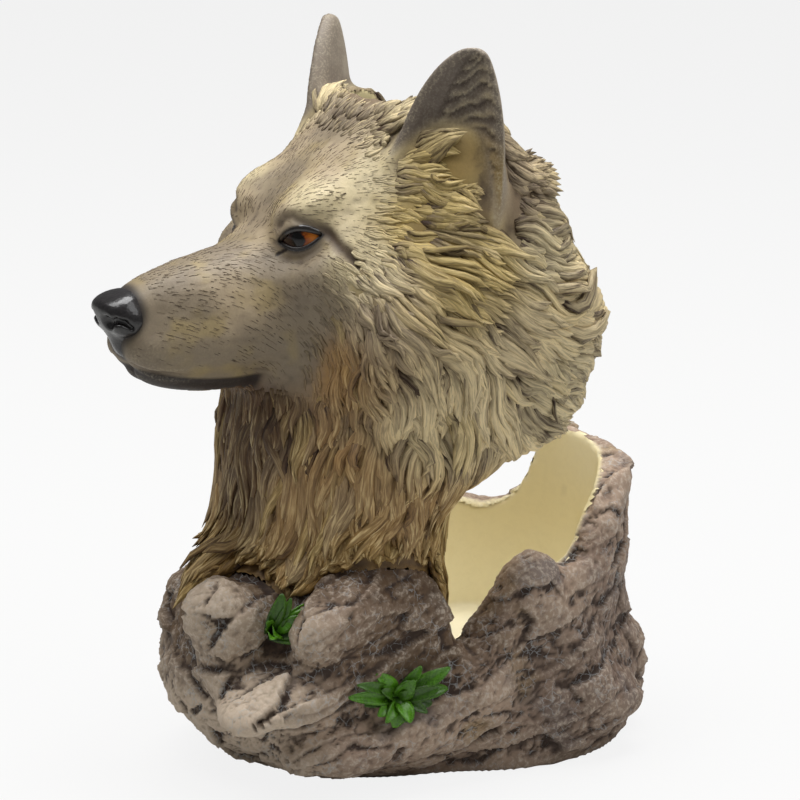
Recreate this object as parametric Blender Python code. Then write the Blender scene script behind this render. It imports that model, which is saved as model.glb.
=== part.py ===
"""Bottle holder cast in one piece: a wolf's head and mane that wrap a standing bottle, on a rock base with a cup.

The wolf faces -Y, +Z is up, and the origin is on the bottle's axis at the flat underside. Sizes are in metres.
The casting is one solid. Its outside is a distance function: lofts and ellipsoids joined with soft unions, with
locks of hair raised along the lie of the coat and ledges raised on the rock. The bottle's bore is cut last.
"""
import bmesh
import bpy
import numpy as np
from mathutils import Vector

MM = 0.001

# The bottle and what holds it
BOTTLE_RADIUS = 0.0385
BOTTLE_CLEARANCE = 0.0045
BORE_RADIUS = BOTTLE_RADIUS + BOTTLE_CLEARANCE
CUP_WALL = 0.0100
CUP_FLOOR = 0.0290

# The head
NOSE_TIP = (0.0, -0.1440, 0.1665)
NOSE_WIDTH = 0.0200
EYE = (0.0167, -0.0748, 0.1865)
EYE_RADIUS = 0.0090
EYE_TURN = (4, -12, 42)
EAR_LENGTH = 0.0430
EAR_WIDTH = 0.0370
EAR_THICKNESS = 0.0048
EAR_DEPTH = 0.0095
EAR_ROOT = (0.0, -0.0365, 0.2065)
EAR_SUNK = 0.0150
EAR_OPENING = (0.68, -0.73, 0.0)
EAR_UP = (0.04, 0.30, 0.95)

# Fineness of the solid
GRID_STEP = 0.0016
REMESH_SIZE = 0.0013
TRIANGLES = 12300

# Locks of hair: each follows the lie of the coat and rises to its tip
LOCK_LENGTH = 0.032
LOCK_WIDTH = 0.0125
LOCK_RISE = 0.0040
LOCK_SPACING = 0.0095
LOCK_STEPS = 8
# Lie of the coat on the wolf's left, in mm: a place, and the way the hair runs there
LIE = (
    ((12, -126, 168), (0.3, 1.0, -0.3)), ((17, -114, 162), (0.2, 1.0, -0.4)), ((0, -120, 176), (0, 1.0, 0.25)),
    ((20, -98, 150), (0, 0.85, -0.5)), ((28, -84, 171), (0.5, 0.6, -0.5)), ((35, -76, 158), (0.3, 0.5, -0.8)),
    ((4, -70, 206), (0.1, 0.8, 0.55)), ((20, -53, 216), (0.45, 0.85, 0.25)), ((35, -58, 199), (0.6, 0.8, 0)),
    ((49, -46, 190), (0.4, 0.85, -0.3)), ((50, -58, 175), (0.5, 0.6, -0.6)), ((59, -53, 160), (0.2, 0.6, -0.8)),
    ((59, -46, 136), (0, 0.25, -1.0)), ((60, -34, 174), (0.1, 0.85, -0.5)), ((60, -16, 166), (0, 0.9, -0.4)),
    ((56, 3, 163), (-0.3, 0.95, -0.15)), ((57, -5, 137), (-0.2, 0.85, -0.45)), ((43, -73, 142), (0, 0.1, -1.0)),
    ((36, -77, 124), (0, -0.05, -1.0)), ((19, -86, 115), (0, -0.1, -1.0)), ((27, -83, 99), (-0.1, -0.4, -0.9)),
    ((6, -99, 82), (0, -0.75, -0.65)), ((50, -59, 118), (0, -0.1, -1.0)), ((46, -56, 93), (0, -0.3, -0.95)),
    ((50, -40, 106), (-0.2, 0, -1.0)), ((3, -90, 122), (0, 0, -1.0)), ((49, -5, 196), (-0.1, 0.9, -0.35)),
    ((56, -25, 209), (0, 0.9, -0.35)), ((0, -50, 224), (0, 0.95, 0.3)), ((40, -24, 222), (0.3, 0.95, 0)),
)
LIE_REACH = 0.016

# Rock texture: tilted facets, stretched along the strata
FACET_SIZE = 0.0150
FACET_DEPTH = 0.0030
STRATA_TURN = (17, 0, 8)
STRATA_STRETCH = (1.0, 2.1, 0.62)

# Sections of the head along Y, in mm: y, top, bottom, half width, height of the widest line, squareness
HEAD_SECTIONS = (
    (-137, 168.5, 151, 6, 161, 2.2),
    (-132, 171.5, 147, 10.5, 159, 2.3),
    (-125, 174.5, 144, 13.5, 158, 2.4),
    (-114, 177.5, 142, 17, 157, 2.4),
    (-102, 180.5, 140, 19.5, 157, 2.3),
    (-93, 183.0, 138, 22.5, 158, 2.2),
    (-86, 187.5, 137, 26, 161, 2.1),
    (-78, 197.5, 136, 31, 167, 2.1),
    (-66, 209.5, 134, 38, 173, 2.1),
    (-50, 222.5, 130, 44, 178, 2.2),
    (-34, 229.0, 128, 48.5, 181, 2.3),
    (-16, 227.0, 126, 51, 183, 2.4),
    (2, 219.0, 124, 50, 181, 2.4),
)
# Sections of the mane and neck along Z, in mm: z, front, back, half width beyond the bore, squareness
MANE_SECTIONS = (
    (50, -104, -30, 1, 1.9),
    (64, -101, -31, 1, 1.9),
    (80, -93, -32, 1, 1.9),
    (97, -90, -28, 4, 1.9),
    (108, -90, -12, 9, 2.0),
    (118, -90, 14, 12, 2.0),
    (135, -88, 23, 15.5, 2.1),
    (153, -80, 25, 18, 2.2),
    (168, -70, 18, 17, 2.3),
    (190, -58, 1, 12.5, 2.4),
    (208, -50, -9, 8, 2.5),
    (222, -44, -13, 4, 2.5),
)
# Sections of the rock along Z, in mm: z, front, back beyond the bore, half width beyond the bore, squareness
ROCK_SECTIONS = (
    (0, -82, 3, -1, 2.2),
    (9, -101, 8, 6, 2.2),
    (22, -113, 10, 9, 2.3),
    (38, -117, 10, 9, 2.3),
    (54, -111, 9, 6, 2.2),
    (70, -102, 7, 3, 2.2),
)
# The cup's rim round the bottle's axis: degrees from the back (+Y) towards the wolf's left (+X), height in mm
RIM = (
    (-180, 62), (-140, 60), (-118, 50), (-95, 58), (-75, 64), (-52, 68), (-38, 74), (-24, 96), (-6, 100),
    (14, 99), (36, 96), (50, 90), (62, 84), (76, 70), (88, 69), (98, 73), (108, 62), (122, 47), (138, 42), (180, 62),
)
BACK_SQUARENESS = 3.2
# Tufts of leaves, in mm: the root, then each leaf's tip from the root
TUFTS = (
    ((34, -99, 58), ((5, 3, 9), (4, 8, 8), (3, 12, 5), (4, 11, 0), (4, -4, 6), (5, -4, 0), (6, 4, 4))),
    (
        (50, -61, 34),
        ((3, -17, 3), (4, -13, -3), (5, -8, -7), (5, -2, -8), (4, 8, -5), (3, 17, 0), (4, 16, 5), (5, 8, 8),
         (6, 0, 8), (5, -8, 5), (7, 5, 2)),
    ),
)
LEAF_WIDTH = 3.0
LEAF_THICKNESS = 1.7
# Boulders and ledges, in mm: centre, radii, degrees about X, Y and Z
BOULDERS = (
    ((18, -104, 54), (14, 15, 24), (24, 0, 12)),
    ((41, -70, 62), (13, 28, 15), (10, 0, 10)),
    ((33, -84, 41), (20, 36, 9), (16, 0, 12)),
    ((35, -55, 20), (20, 44, 11), (7, 0, 12)),
    ((-20, -92, 50), (17, 17, 17), (20, 0, -10)),
    ((-34, -66, 42), (17, 30, 12), (10, 0, -14)),
    ((-40, -62, 60), (13, 24, 14), (4, 0, -8)),
    ((-38, -40, 22), (16, 40, 13), (6, 0, -6)),
    ((44, 6, 22), (13, 32, 12), (-6, 0, -8)),
    ((-40, 8, 24), (14, 30, 13), (-6, 0, 10)),
    ((4, 46, 26), (30, 8, 14), (0, 6, 4)),
)
BOULDER_FILLET = 0.009
# Buttresses of the cup's wall, in mm: peak, foot, radius at each
BUTTRESSES = (
    ((45.5, -8, 63), (46, -27, 32), 7.5, 12),
    ((45.5, -8, 63), (47, 12, 28), 7.5, 12),
    ((-44, 16, 62), (-46, 2, 30), 8, 12),
    ((-22, 38, 62), (-26, 38, 28), 9, 12),
)


def vector(*values):
    return np.array(values, float)


def soft_min(a, b, k):
    """Union of two distances, with a fillet about k across."""
    h = np.maximum(k - np.abs(a - b), 0) / k
    return np.minimum(a, b) - h * h * k / 4


def soft_max(a, b, k):
    """Intersection of two distances, with a fillet about k across."""
    return -soft_min(-a, -b, k)


def turn(about_x, about_y, about_z):
    """Rotation matrix from three angles in degrees, X first."""
    x, y, z = np.radians([about_x, about_y, about_z])
    turn_x = np.array([[1, 0, 0], [0, np.cos(x), -np.sin(x)], [0, np.sin(x), np.cos(x)]])
    turn_y = np.array([[np.cos(y), 0, np.sin(y)], [0, 1, 0], [-np.sin(y), 0, np.cos(y)]])
    turn_z = np.array([[np.cos(z), -np.sin(z), 0], [np.sin(z), np.cos(z), 0], [0, 0, 1]])
    return turn_z @ turn_y @ turn_x


def ellipsoid(p, centre, radii, rotation=None):
    """Distance to an ellipsoid; centre and radii in mm."""
    q = p - vector(*centre) * MM
    if rotation is not None:
        q = q @ rotation
    r = vector(*radii) * MM
    near = np.sqrt(((q / r) ** 2).sum(-1))
    slope = np.sqrt(((q / (r * r)) ** 2).sum(-1)) + 1e-9
    return near * (near - 1) / slope


def rod(p, start, end, start_radius, end_radius):
    """Distance to a round rod that tapers from one end to the other; all sizes in mm."""
    a, b = vector(*start) * MM, vector(*end) * MM
    along = np.clip(((p - a) @ (b - a)) / ((b - a) @ (b - a)), 0, 1)
    axis_point = a + along[:, None] * (b - a)
    return np.sqrt(((p - axis_point) ** 2).sum(-1)) - (start_radius + (end_radius - start_radius) * along) * MM


def spline(t, knots, values):
    """Smooth curve through the values at the knots (Hermite, with averaged slopes)."""
    knots, values = np.asarray(knots, float), np.asarray(values, float)
    slopes = np.gradient(values, knots)
    t = np.clip(t, knots[0], knots[-1])
    i = np.clip(np.searchsorted(knots, t) - 1, 0, len(knots) - 2)
    gap = knots[i + 1] - knots[i]
    s = (t - knots[i]) / gap
    return (
        (2 * s**3 - 3 * s**2 + 1) * values[i]
        + (s**3 - 2 * s**2 + s) * gap * slopes[i]
        + (3 * s**2 - 2 * s**3) * values[i + 1]
        + (s**3 - s**2) * gap * slopes[i + 1]
    )


def round_section(across, along, half_across, half_along, squareness):
    """Distance to a superellipse: the ray's length times how far its end lies past the outline."""
    n = squareness
    reach = ((np.abs(across) / half_across) ** n + (np.abs(along) / half_along) ** n + 1e-9) ** (1 / n)
    ray = np.sqrt(across**2 + along**2)
    return np.where(reach < 0.05, -np.minimum(half_across, half_along), ray * (1 - 1 / np.maximum(reach, 0.05)))


def head(p):
    """Skull and muzzle: upright sections lofted along Y."""
    x, y, z = p[:, 0], p[:, 1], p[:, 2]
    rows = np.array(HEAD_SECTIONS, float)
    knots = rows[:, 0] * MM
    top, bottom, half, widest = (spline(y, knots, rows[:, i] * MM) for i in range(1, 5))
    squareness = spline(y, knots, rows[:, 5])
    height = np.where(z > widest, top - widest, widest - bottom)
    d = round_section(x, z - widest, half, height, squareness)
    return soft_max(d * 0.9, np.maximum(knots[0] - y, y - knots[-1]), 6 * MM)


def column(p, rows, back_from_bore):
    """Level sections lofted along Z, each an oval from its front to its back, wider than the bore by its cover.
    The front half's squareness comes from the table; the back half is squarer, to stand clear of the bore."""
    x, y, z = p[:, 0], p[:, 1], p[:, 2]
    rows = np.array(rows, float)
    knots = rows[:, 0] * MM
    front, back, cover = (spline(z, knots, rows[:, i] * MM) for i in range(1, 4))
    squareness = spline(z, knots, rows[:, 4])
    back = back + (BORE_RADIUS if back_from_bore else 0)
    along = y - (front + back) / 2
    squareness = np.where(along < 0, squareness, BACK_SQUARENESS)
    d = round_section(x, along, BORE_RADIUS + cover, (back - front) / 2, squareness)
    return d * 0.9, knots


def mane(p):
    d, knots = column(p, MANE_SECTIONS, False)
    return soft_max(d, np.maximum(knots[0] - p[:, 2], p[:, 2] - knots[-1]), 8 * MM)


def rock_core(p):
    d, knots = column(p, ROCK_SECTIONS, True)
    return soft_max(d, p[:, 2] - knots[-1], 8 * MM)


def ear(p):
    """A cupped leaf on each side: a thin shell bowed away from its opening, narrowing to a round tip."""
    q = p.copy()
    q[:, 0] = np.abs(q[:, 0])
    opening = vector(*EAR_OPENING)
    opening /= np.linalg.norm(opening)
    up = vector(*EAR_UP) - opening * (vector(*EAR_UP) @ opening)
    up /= np.linalg.norm(up)
    side = np.cross(opening, up)
    q = q - vector(BORE_RADIUS + EAR_ROOT[0], EAR_ROOT[1], EAR_ROOT[2])
    rise, across, depth = q @ up, q @ side, q @ opening
    level = np.clip((rise + EAR_SUNK) / (EAR_LENGTH + EAR_SUNK), 0, 1)
    back_half = (1 - level**2.8) ** 0.60
    front_half = (1 - level**1.8) ** 0.75
    half = EAR_WIDTH / 2 * np.where(across > 0, back_half, front_half) + 1.5 * MM
    bow = -EAR_DEPTH * np.clip(1 - (across / half) ** 2, 0, 1) * np.sqrt(1 - level)
    wall = np.abs(depth - bow) - EAR_THICKNESS / 2 * (1.5 - 0.7 * level)
    rim = (np.abs(across) - half) * 0.8
    ends = np.maximum(rise - EAR_LENGTH, -EAR_SUNK - rise)
    return soft_max(soft_max(wall * 0.8, rim, EAR_THICKNESS / 2), ends, EAR_THICKNESS / 2)


def cup(p):
    """The wall round the bore, as high as the rim's curve says at each angle."""
    angle = np.degrees(np.arctan2(p[:, 0], p[:, 1]))
    rows = np.array(RIM, float)
    top = spline(angle, rows[:, 0], rows[:, 1] * MM)
    outer = BORE_RADIUS + CUP_WALL
    return soft_max(np.hypot(p[:, 0], p[:, 1]) - outer, (p[:, 2] - top) * 0.7, CUP_WALL * 0.6)


def face(p):
    """The head with its brows, cheeks, lips, eye sockets, nose and mouth."""
    q = p.copy()
    q[:, 0] = np.abs(q[:, 0])
    d = head(p)
    brow = ellipsoid(q, (16, -73.5, 196), (10, 12, 6), turn(24, 10, -28))
    cheek = ellipsoid(q, (27, -63, 172), (12, 20, 15), turn(-10, 0, 10))
    lip = ellipsoid(q, (8, -113, 151), (9.8, 22, 10.5))
    jaw = ellipsoid(q, (3, -104, 142.5), (12.5, 27, 7.5), turn(-2, 0, 0))
    d = soft_min(d, brow, 7 * MM)
    d = soft_min(d, cheek, 12 * MM)
    d = soft_min(d, lip, 7 * MM)
    mouth = rod(q, (7.5, -136, 146.5), (18.5, -114, 141.5), 1.2, 1.2)
    mouth = np.minimum(mouth, rod(q, (18.5, -114, 141.5), (25, -93, 139.5), 1.2, 1.6))
    d = soft_min(d, jaw, 2 * MM)
    d = soft_max(d, -mouth, 2 * MM)
    socket = ellipsoid(q, (25.5, -84.5, 186), (11, 8.5, 6.5), turn(0, -12, 42))
    furrow = rod(q, (0, -94, 199), (0, -50, 229), 2.5, 3)
    d = soft_max(d, -socket, 7 * MM)
    d = soft_max(d, -furrow, 8 * MM)
    x, y, z = (value / MM for value in EYE)
    radius = EYE_RADIUS / MM
    ball = ellipsoid(q, (x, y, z), (radius, radius, radius))
    lids = ellipsoid(q, (x, y, z), (radius + 1.3, radius + 1.3, radius + 1.3))
    slant = turn(*EYE_TURN)
    local = (q - vector(*EYE)) @ slant
    across = local[:, 0] / (0.88 * EYE_RADIUS)
    upper = (0.44 - 0.46 * across**2) * EYE_RADIUS
    lower = (-0.34 + 0.36 * across**2) * EYE_RADIUS
    opening = np.maximum(np.maximum(local[:, 2] - upper, lower - local[:, 2]), local[:, 1])
    d = soft_min(d, lids, 3 * MM)
    d = soft_max(d, -opening, 0.8 * MM)
    d = soft_min(d, ball, 0.3 * MM)
    return d


def nose(p):
    """The nose pad: a rounded block, hollowed by two nostrils that curl out to the sides, and split below."""
    q = p.copy()
    q[:, 0] = np.abs(q[:, 0])
    x, y, z = (value / MM for value in NOSE_TIP)
    half = NOSE_WIDTH / 2 / MM
    pad = ellipsoid(q, (x, y + 8, z - 2), (half, 8.5, 7.5), turn(-16, 0, 0))
    wing = ellipsoid(q, (x + half * 0.62, y + 8, z - 4), (half * 0.42, 6.5, 5))
    pad = soft_min(pad, wing, 2.5 * MM)
    base = ellipsoid(q, (x, y + 11, z - 10), (half * 0.5, 5.5, 8))
    pad = soft_min(pad, base, 4 * MM)
    hole = ellipsoid(q, (x + half * 0.5, y + 1.2, z - 3.2), (2.2, 3.4, 2.4))
    curl = rod(q, (x + half * 0.6, y + 1.5, z - 4.5), (x + half * 1.0, y + 6.5, z - 5), 1.1, 0.8)
    split = rod(q, (x, y, z - 5.5), (x, y + 8.5, z - 20), 0.7, 0.7)
    for groove in (hole, curl, split):
        pad = soft_max(pad, -groove, 1.2 * MM)
    return pad


def rocks(p):
    """Boulders and tilted ledges round the foot, and the cup's wall."""
    d = rock_core(p)
    low_behind_neck = (p[:, 2] - 36 * MM) * 0.8 - np.clip(-p[:, 1] - 30 * MM, 0, 50 * MM) * 2
    d = soft_max(d, low_behind_neck, 6 * MM)
    for centre, radii, rotation in BOULDERS:
        d = soft_min(d, ellipsoid(p, centre, radii, turn(*rotation)), BOULDER_FILLET)
    wall = cup(p)
    for peak, foot, peak_radius, foot_radius in BUTTRESSES:
        wall = soft_min(wall, rod(p, peak, foot, peak_radius, foot_radius), 8 * MM)
    return soft_min(d, wall, 6 * MM)


def coat(p):
    """The parts that carry fur: face, mane, chest and ears."""
    fur = mane(p)
    q = p.copy()
    q[:, 0] = np.abs(q[:, 0])
    ruff = ellipsoid(q, (42, -42, 154), (17, 30, 27), turn(-25, 0, 0))
    chest = ellipsoid(q, (0, -95, 60), (22, 12, 20), turn(-34, 0, 0))
    fur = soft_min(fur, ruff, 14 * MM)
    fur = soft_min(fur, chest, 8 * MM)
    d = soft_min(face(p), fur, 10 * MM)
    d = soft_min(d, ear(p), 5 * MM)
    return soft_min(d, nose(p), 1.5 * MM)


def form(p):
    """The whole outside, before hair and rock texture and before the bore."""
    return np.maximum(soft_min(coat(p), rocks(p), 2.5 * MM), -p[:, 2])


def sample(distance, low, high, step):
    """The distance on a grid. The grid is halved three times, and each time only the points near the surface are
    worked out again; the others keep the value of their nearest coarse point."""
    low, high = vector(*low), vector(*high)
    coarse = step * 8
    counts = np.ceil((high - low) / coarse).astype(int) + 1
    values = np.zeros(counts)
    near = np.ones(counts, bool)
    while True:
        place = np.argwhere(near)
        values[near] = distance(place * coarse + low)
        if coarse < step * 1.5:
            return values
        near = np.abs(values) < 1.3 * coarse
        coarse = coarse / 2
        nearest = np.ix_(*(np.round(np.arange(2 * n - 1) / 2).astype(int) for n in values.shape))
        values, near = values[nearest], near[nearest]


def surface(values, low, step):
    """Surface nets: one point in each grid cell that the surface crosses, at the mean of the crossings on its edges,
    and one quad round each grid edge that it crosses. Returns points and quads that face outwards."""
    inside = values < 0
    cells = tuple(n - 1 for n in values.shape)
    corners = [(a, b, c) for a in (0, 1) for b in (0, 1) for c in (0, 1)]
    full = sum(inside[a:a + cells[0], b:b + cells[1], c:c + cells[2]].astype(np.int8) for a, b, c in corners)
    crossed = (full > 0) & (full < 8)
    cell = np.argwhere(crossed)
    number = np.full(cells, -1)
    number[crossed] = np.arange(len(cell))
    total, count = np.zeros((len(cell), 3)), np.zeros(len(cell))
    for i, one in enumerate(corners):
        for other in corners[i + 1:]:
            if np.abs(np.subtract(one, other)).sum() != 1:
                continue
            a = values[tuple((cell + one).T)]
            b = values[tuple((cell + other).T)]
            cut = (a < 0) != (b < 0)
            share = np.where(cut, a / np.where(cut, a - b, 1), 0)
            total += np.where(cut[:, None], one + share[:, None] * np.subtract(other, one), 0)
            count += cut
    points = (cell + total / count[:, None]) * step + np.array(low)
    quads = []
    for axis in range(3):
        others = [i for i in range(3) if i != axis]
        near, far = [slice(1, -1)] * 3, [slice(1, -1)] * 3
        near[axis], far[axis] = slice(0, -1), slice(1, None)
        changes = inside[tuple(near)] != inside[tuple(far)]
        edge = np.argwhere(changes)
        leaving = inside[tuple(near)][changes]
        edge[:, others] += 1
        ring = []
        for back_a, back_b in ((1, 1), (0, 1), (0, 0), (1, 0)):
            place = edge.copy()
            place[:, others[0]] -= back_a
            place[:, others[1]] -= back_b
            ring.append(number[tuple(place.T)])
        quad = np.stack(ring, 1)
        backwards = leaving if axis == 1 else ~leaving
        quad[backwards] = quad[backwards][:, ::-1]
        quads.append(quad)
    return points, np.concatenate(quads)


def smooth(low, high, value):
    t = np.clip((value - low) / (high - low), 0, 1)
    return t * t * (3 - 2 * t)


def slope(distance, points, span=0.4 * MM):
    """Unit normals of a distance function, from central differences."""
    normal = np.empty_like(points)
    for i in range(3):
        step = np.zeros(3)
        step[i] = span
        normal[:, i] = distance(points + step) - distance(points - step)
    return normal / (np.linalg.norm(normal, axis=1, keepdims=True) + 1e-12)


def lie(points, normals):
    """The way the hair runs: the guides' directions, each weighted by how near it is, laid along the surface."""
    side = np.where(points[:, :1] < 0, -1.0, 1.0)
    mirrored = points * np.concatenate([side, np.ones((len(points), 2))], 1)
    total = np.zeros_like(points)
    for place, way in LIE:
        far = ((mirrored - vector(*place) * MM) ** 2).sum(1) / LIE_REACH**2
        total += vector(*way) / (far[:, None] + 0.3) ** 2
    total[:, 0] *= side[:, 0]
    total -= (total * normals).sum(1, keepdims=True) * normals
    return total / (np.linalg.norm(total, axis=1, keepdims=True) + 1e-12)


def shag(points):
    """How long the coat is: none on muzzle, brow, ears and rock, full on cheeks, neck and mane."""
    y, z = points[:, 1], points[:, 2]
    start = np.where(z > 0.195, -0.074, -0.084)
    on_face = smooth(0.0, 0.030, y - start)
    below_jaw = smooth(0.137, 0.129, z)
    amount = np.maximum(on_face, below_jaw)
    amount = amount * smooth(0.0, 3 * MM, ear(points))
    return amount * smooth(-1 * MM, 3 * MM, rocks(points))


def spread(points, spacing, random):
    """Numbers of points about one spacing apart: one for each cell of a grid."""
    order = random.permutation(len(points))
    cell = np.floor(points[order] / spacing).astype(np.int64) + 500
    key = (cell[:, 0] * 1000 + cell[:, 1]) * 1000 + cell[:, 2]
    return order[np.unique(key, return_index=True)[1]]


def locks(points, amount):
    """How far the locks of hair raise each point. A lock starts at a root, follows the lie of the coat for its
    length, widens and then narrows to its tip, is domed across, and rises from root to tip."""
    random = np.random.default_rng(7)
    coated = np.nonzero(amount > 0.08)[0]
    roots = coated[spread(points[coated], LOCK_SPACING, random)]
    path = [points[roots]]
    bend = random.uniform(-0.5, 0.5, len(roots))
    size = np.sqrt(amount[roots]) * random.uniform(0.75, 1.15, len(roots))
    for k in range(LOCK_STEPS):
        here = path[-1]
        normal = slope(form, here)
        way = lie(here, normal)
        way = way + np.cross(normal, way) * (bend * (k / LOCK_STEPS - 0.3))[:, None]
        there = here + way * (LOCK_LENGTH * size / LOCK_STEPS)[:, None]
        path.append(there - normal * form(there)[:, None])
    path = np.stack(path, 1)
    rise = np.zeros(len(points))
    cell_size = LOCK_WIDTH
    cell = np.floor(points / cell_size).astype(np.int64)
    table = {}
    order = np.lexsort(cell.T)
    edges = np.nonzero(np.any(np.diff(cell[order], axis=0), axis=1))[0] + 1
    for group in np.split(order, edges):
        table[tuple(cell[group[0]])] = group
    for number in range(len(roots)):
        line, half = path[number], LOCK_WIDTH / 2 * size[number]
        low = np.floor((line.min(0) - half) / cell_size).astype(int)
        high = np.floor((line.max(0) + half) / cell_size).astype(int)
        found = [
            table[a, b, c]
            for a in range(low[0], high[0] + 1)
            for b in range(low[1], high[1] + 1)
            for c in range(low[2], high[2] + 1)
            if (a, b, c) in table
        ]
        if not found:
            continue
        near = np.concatenate(found)
        spot = points[near]
        best = np.full(len(near), np.inf)
        along = np.zeros(len(near))
        for k in range(LOCK_STEPS):
            a, b = line[k], line[k + 1]
            t = np.clip((spot - a) @ (b - a) / ((b - a) @ (b - a) + 1e-15), 0, 1)
            gap = ((spot - a - t[:, None] * (b - a)) ** 2).sum(1)
            closer = gap < best
            best = np.where(closer, gap, best)
            along = np.where(closer, (k + t) / LOCK_STEPS, along)
        width = half * (0.55 + 0.45 * smooth(0, 0.35, along)) * np.sqrt(np.clip(1 - along**3, 0, 1)) + 1e-6
        dome = np.clip(1 - best / width**2, 0, 1)
        height = LOCK_RISE * size[number] * (0.2 + 0.8 * along) * dome**0.8
        rise[near] = np.maximum(rise[near], height)
    return rise * np.minimum(amount * 1.6, 1)


def facets(points):
    """Rock relief. Space is split into cells round jittered points, stretched along the strata; inside each cell
    the surface is raised by a tilted plane, so that neighbouring cells meet in edges and steps."""
    q = points @ turn(*STRATA_TURN) / (vector(*STRATA_STRETCH) * FACET_SIZE)
    base = np.floor(q).astype(np.int64)
    best = np.full(len(q), np.inf)
    relief = np.zeros(len(q))
    for a in (-1, 0, 1):
        for b in (-1, 0, 1):
            for c in (-1, 0, 1):
                cell = base + (a, b, c)
                value = np.sin(cell @ np.array([[12.99, 26.65, 39.35], [78.23, 11.14, 94.67], [37.72, 83.16, 7.91]]))
                value = np.mod(value * 43758.5, 1)
                offset = q - cell - value
                far = (offset**2).sum(1)
                tilt = np.mod(value[:, ::-1] * 17.3, 1) * 2 - 1
                plane = (offset * tilt).sum(1) * 0.9 + tilt[:, 0] * 0.5
                relief = np.where(far < best, plane, relief)
                best = np.minimum(best, far)
    return relief * FACET_DEPTH


def leaves(p):
    d = np.full(len(p), 1.0)
    for root, tips in TUFTS:
        for tip in tips:
            way = vector(*tip)
            reach = np.linalg.norm(way)
            way = way / reach
            side = np.cross(way, (1, 0, 0.3))
            side /= np.linalg.norm(side)
            frame = np.stack([side, way, np.cross(side, way)], 1)
            centre = vector(*root) + way * reach * 0.5
            radii = (LEAF_WIDTH / 2 + 0.6, reach * 0.55, LEAF_THICKNESS)
            d = np.minimum(d, ellipsoid(p, centre, radii, frame))
    return d


def outside(p):
    return np.minimum(form(p), leaves(p))


def sculpt():
    """Points and quads of the whole outside, textured."""
    low, high = (-0.075, -0.152, -0.006), (0.075, 0.068, 0.264)
    values = sample(outside, low, high, GRID_STEP)
    points, quads = surface(values, low, GRID_STEP)
    normals = slope(outside, points)
    bare = smooth(0, 1.5 * MM, leaves(points))
    raised = locks(points, shag(points)) * bare
    stone = smooth(2 * MM, 0, rocks(points)) * smooth(0, 4 * MM, coat(points)) * bare
    stone = stone * smooth(0, 6 * MM, points[:, 2])
    stone = stone * smooth(-1 * MM, 3 * MM, np.hypot(points[:, 0], points[:, 1]) - BORE_RADIUS)
    raised = raised + facets(points) * stone
    points = points + normals * raised[:, None]
    points[:, 2] = np.maximum(points[:, 2], 0)
    return points, quads


def material():
    resin = bpy.data.materials.new("painted_resin")
    resin.use_nodes = True
    shader = resin.node_tree.nodes["Principled BSDF"]
    shader.inputs["Base Color"].default_value = (0.42, 0.36, 0.26, 1)
    shader.inputs["Roughness"].default_value = 0.6
    shader.inputs["Metallic"].default_value = 0
    return resin


def casting():
    """The outside as a mesh, made even, thinned to TRIANGLES, and then bored for the bottle."""
    points, quads = sculpt()
    mesh = bpy.data.meshes.new("wolf_casting")
    mesh.from_pydata(points.tolist(), [], quads.tolist())
    mesh.materials.append(material())
    holder = bpy.data.objects.new("wolf_casting", mesh)
    bpy.context.collection.objects.link(holder)
    even = holder.modifiers.new("even", "REMESH")
    even.mode = "VOXEL"
    even.voxel_size = REMESH_SIZE
    thin = holder.modifiers.new("thin", "DECIMATE")
    shell = bpy.data.meshes.new_from_object(holder.evaluated_get(bpy.context.evaluated_depsgraph_get()))
    thin.ratio = TRIANGLES / sum(len(face.vertices) - 2 for face in shell.polygons)
    return holder


def bore_cutter():
    """The bottle's space: a straight round bore from the cup's floor up through the back of the head."""
    top = 0.30
    cutter_mesh = bpy.data.meshes.new("bottle_bore")
    rings = bmesh.new()
    bmesh.ops.create_cone(
        rings, cap_ends=True, segments=72, radius1=BORE_RADIUS, radius2=BORE_RADIUS, depth=top - CUP_FLOOR
    )
    rings.to_mesh(cutter_mesh)
    rings.free()
    cutter = bpy.data.objects.new("bottle_bore", cutter_mesh)
    cutter.location = Vector((0, 0, (top + CUP_FLOOR) / 2))
    cutter.hide_render = True
    cutter.display_type = "WIRE"
    bpy.context.collection.objects.link(cutter)
    return cutter


def main():
    for old in list(bpy.data.objects):
        bpy.data.objects.remove(old, do_unlink=True)
    holder = casting()
    bored = holder.modifiers.new("bore", "BOOLEAN")
    bored.operation = "DIFFERENCE"
    bored.solver = "EXACT"
    bored.object = bore_cutter()
    for face in holder.data.polygons:
        face.use_smooth = False


if __name__ == "__main__":
    main()
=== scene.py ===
"""Looks of the wolf bottle holder: cold-cast resin with sculpted fur and rock, painted and brushed by hand.

The wolf faces -Y and +Z is up. Sizes are in metres; tables of places are in millimetres. The skin is the same
distance function as the solid's, sampled finer, and the locks of hair are profiles carried along paths on it.
"""
import math

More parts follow.
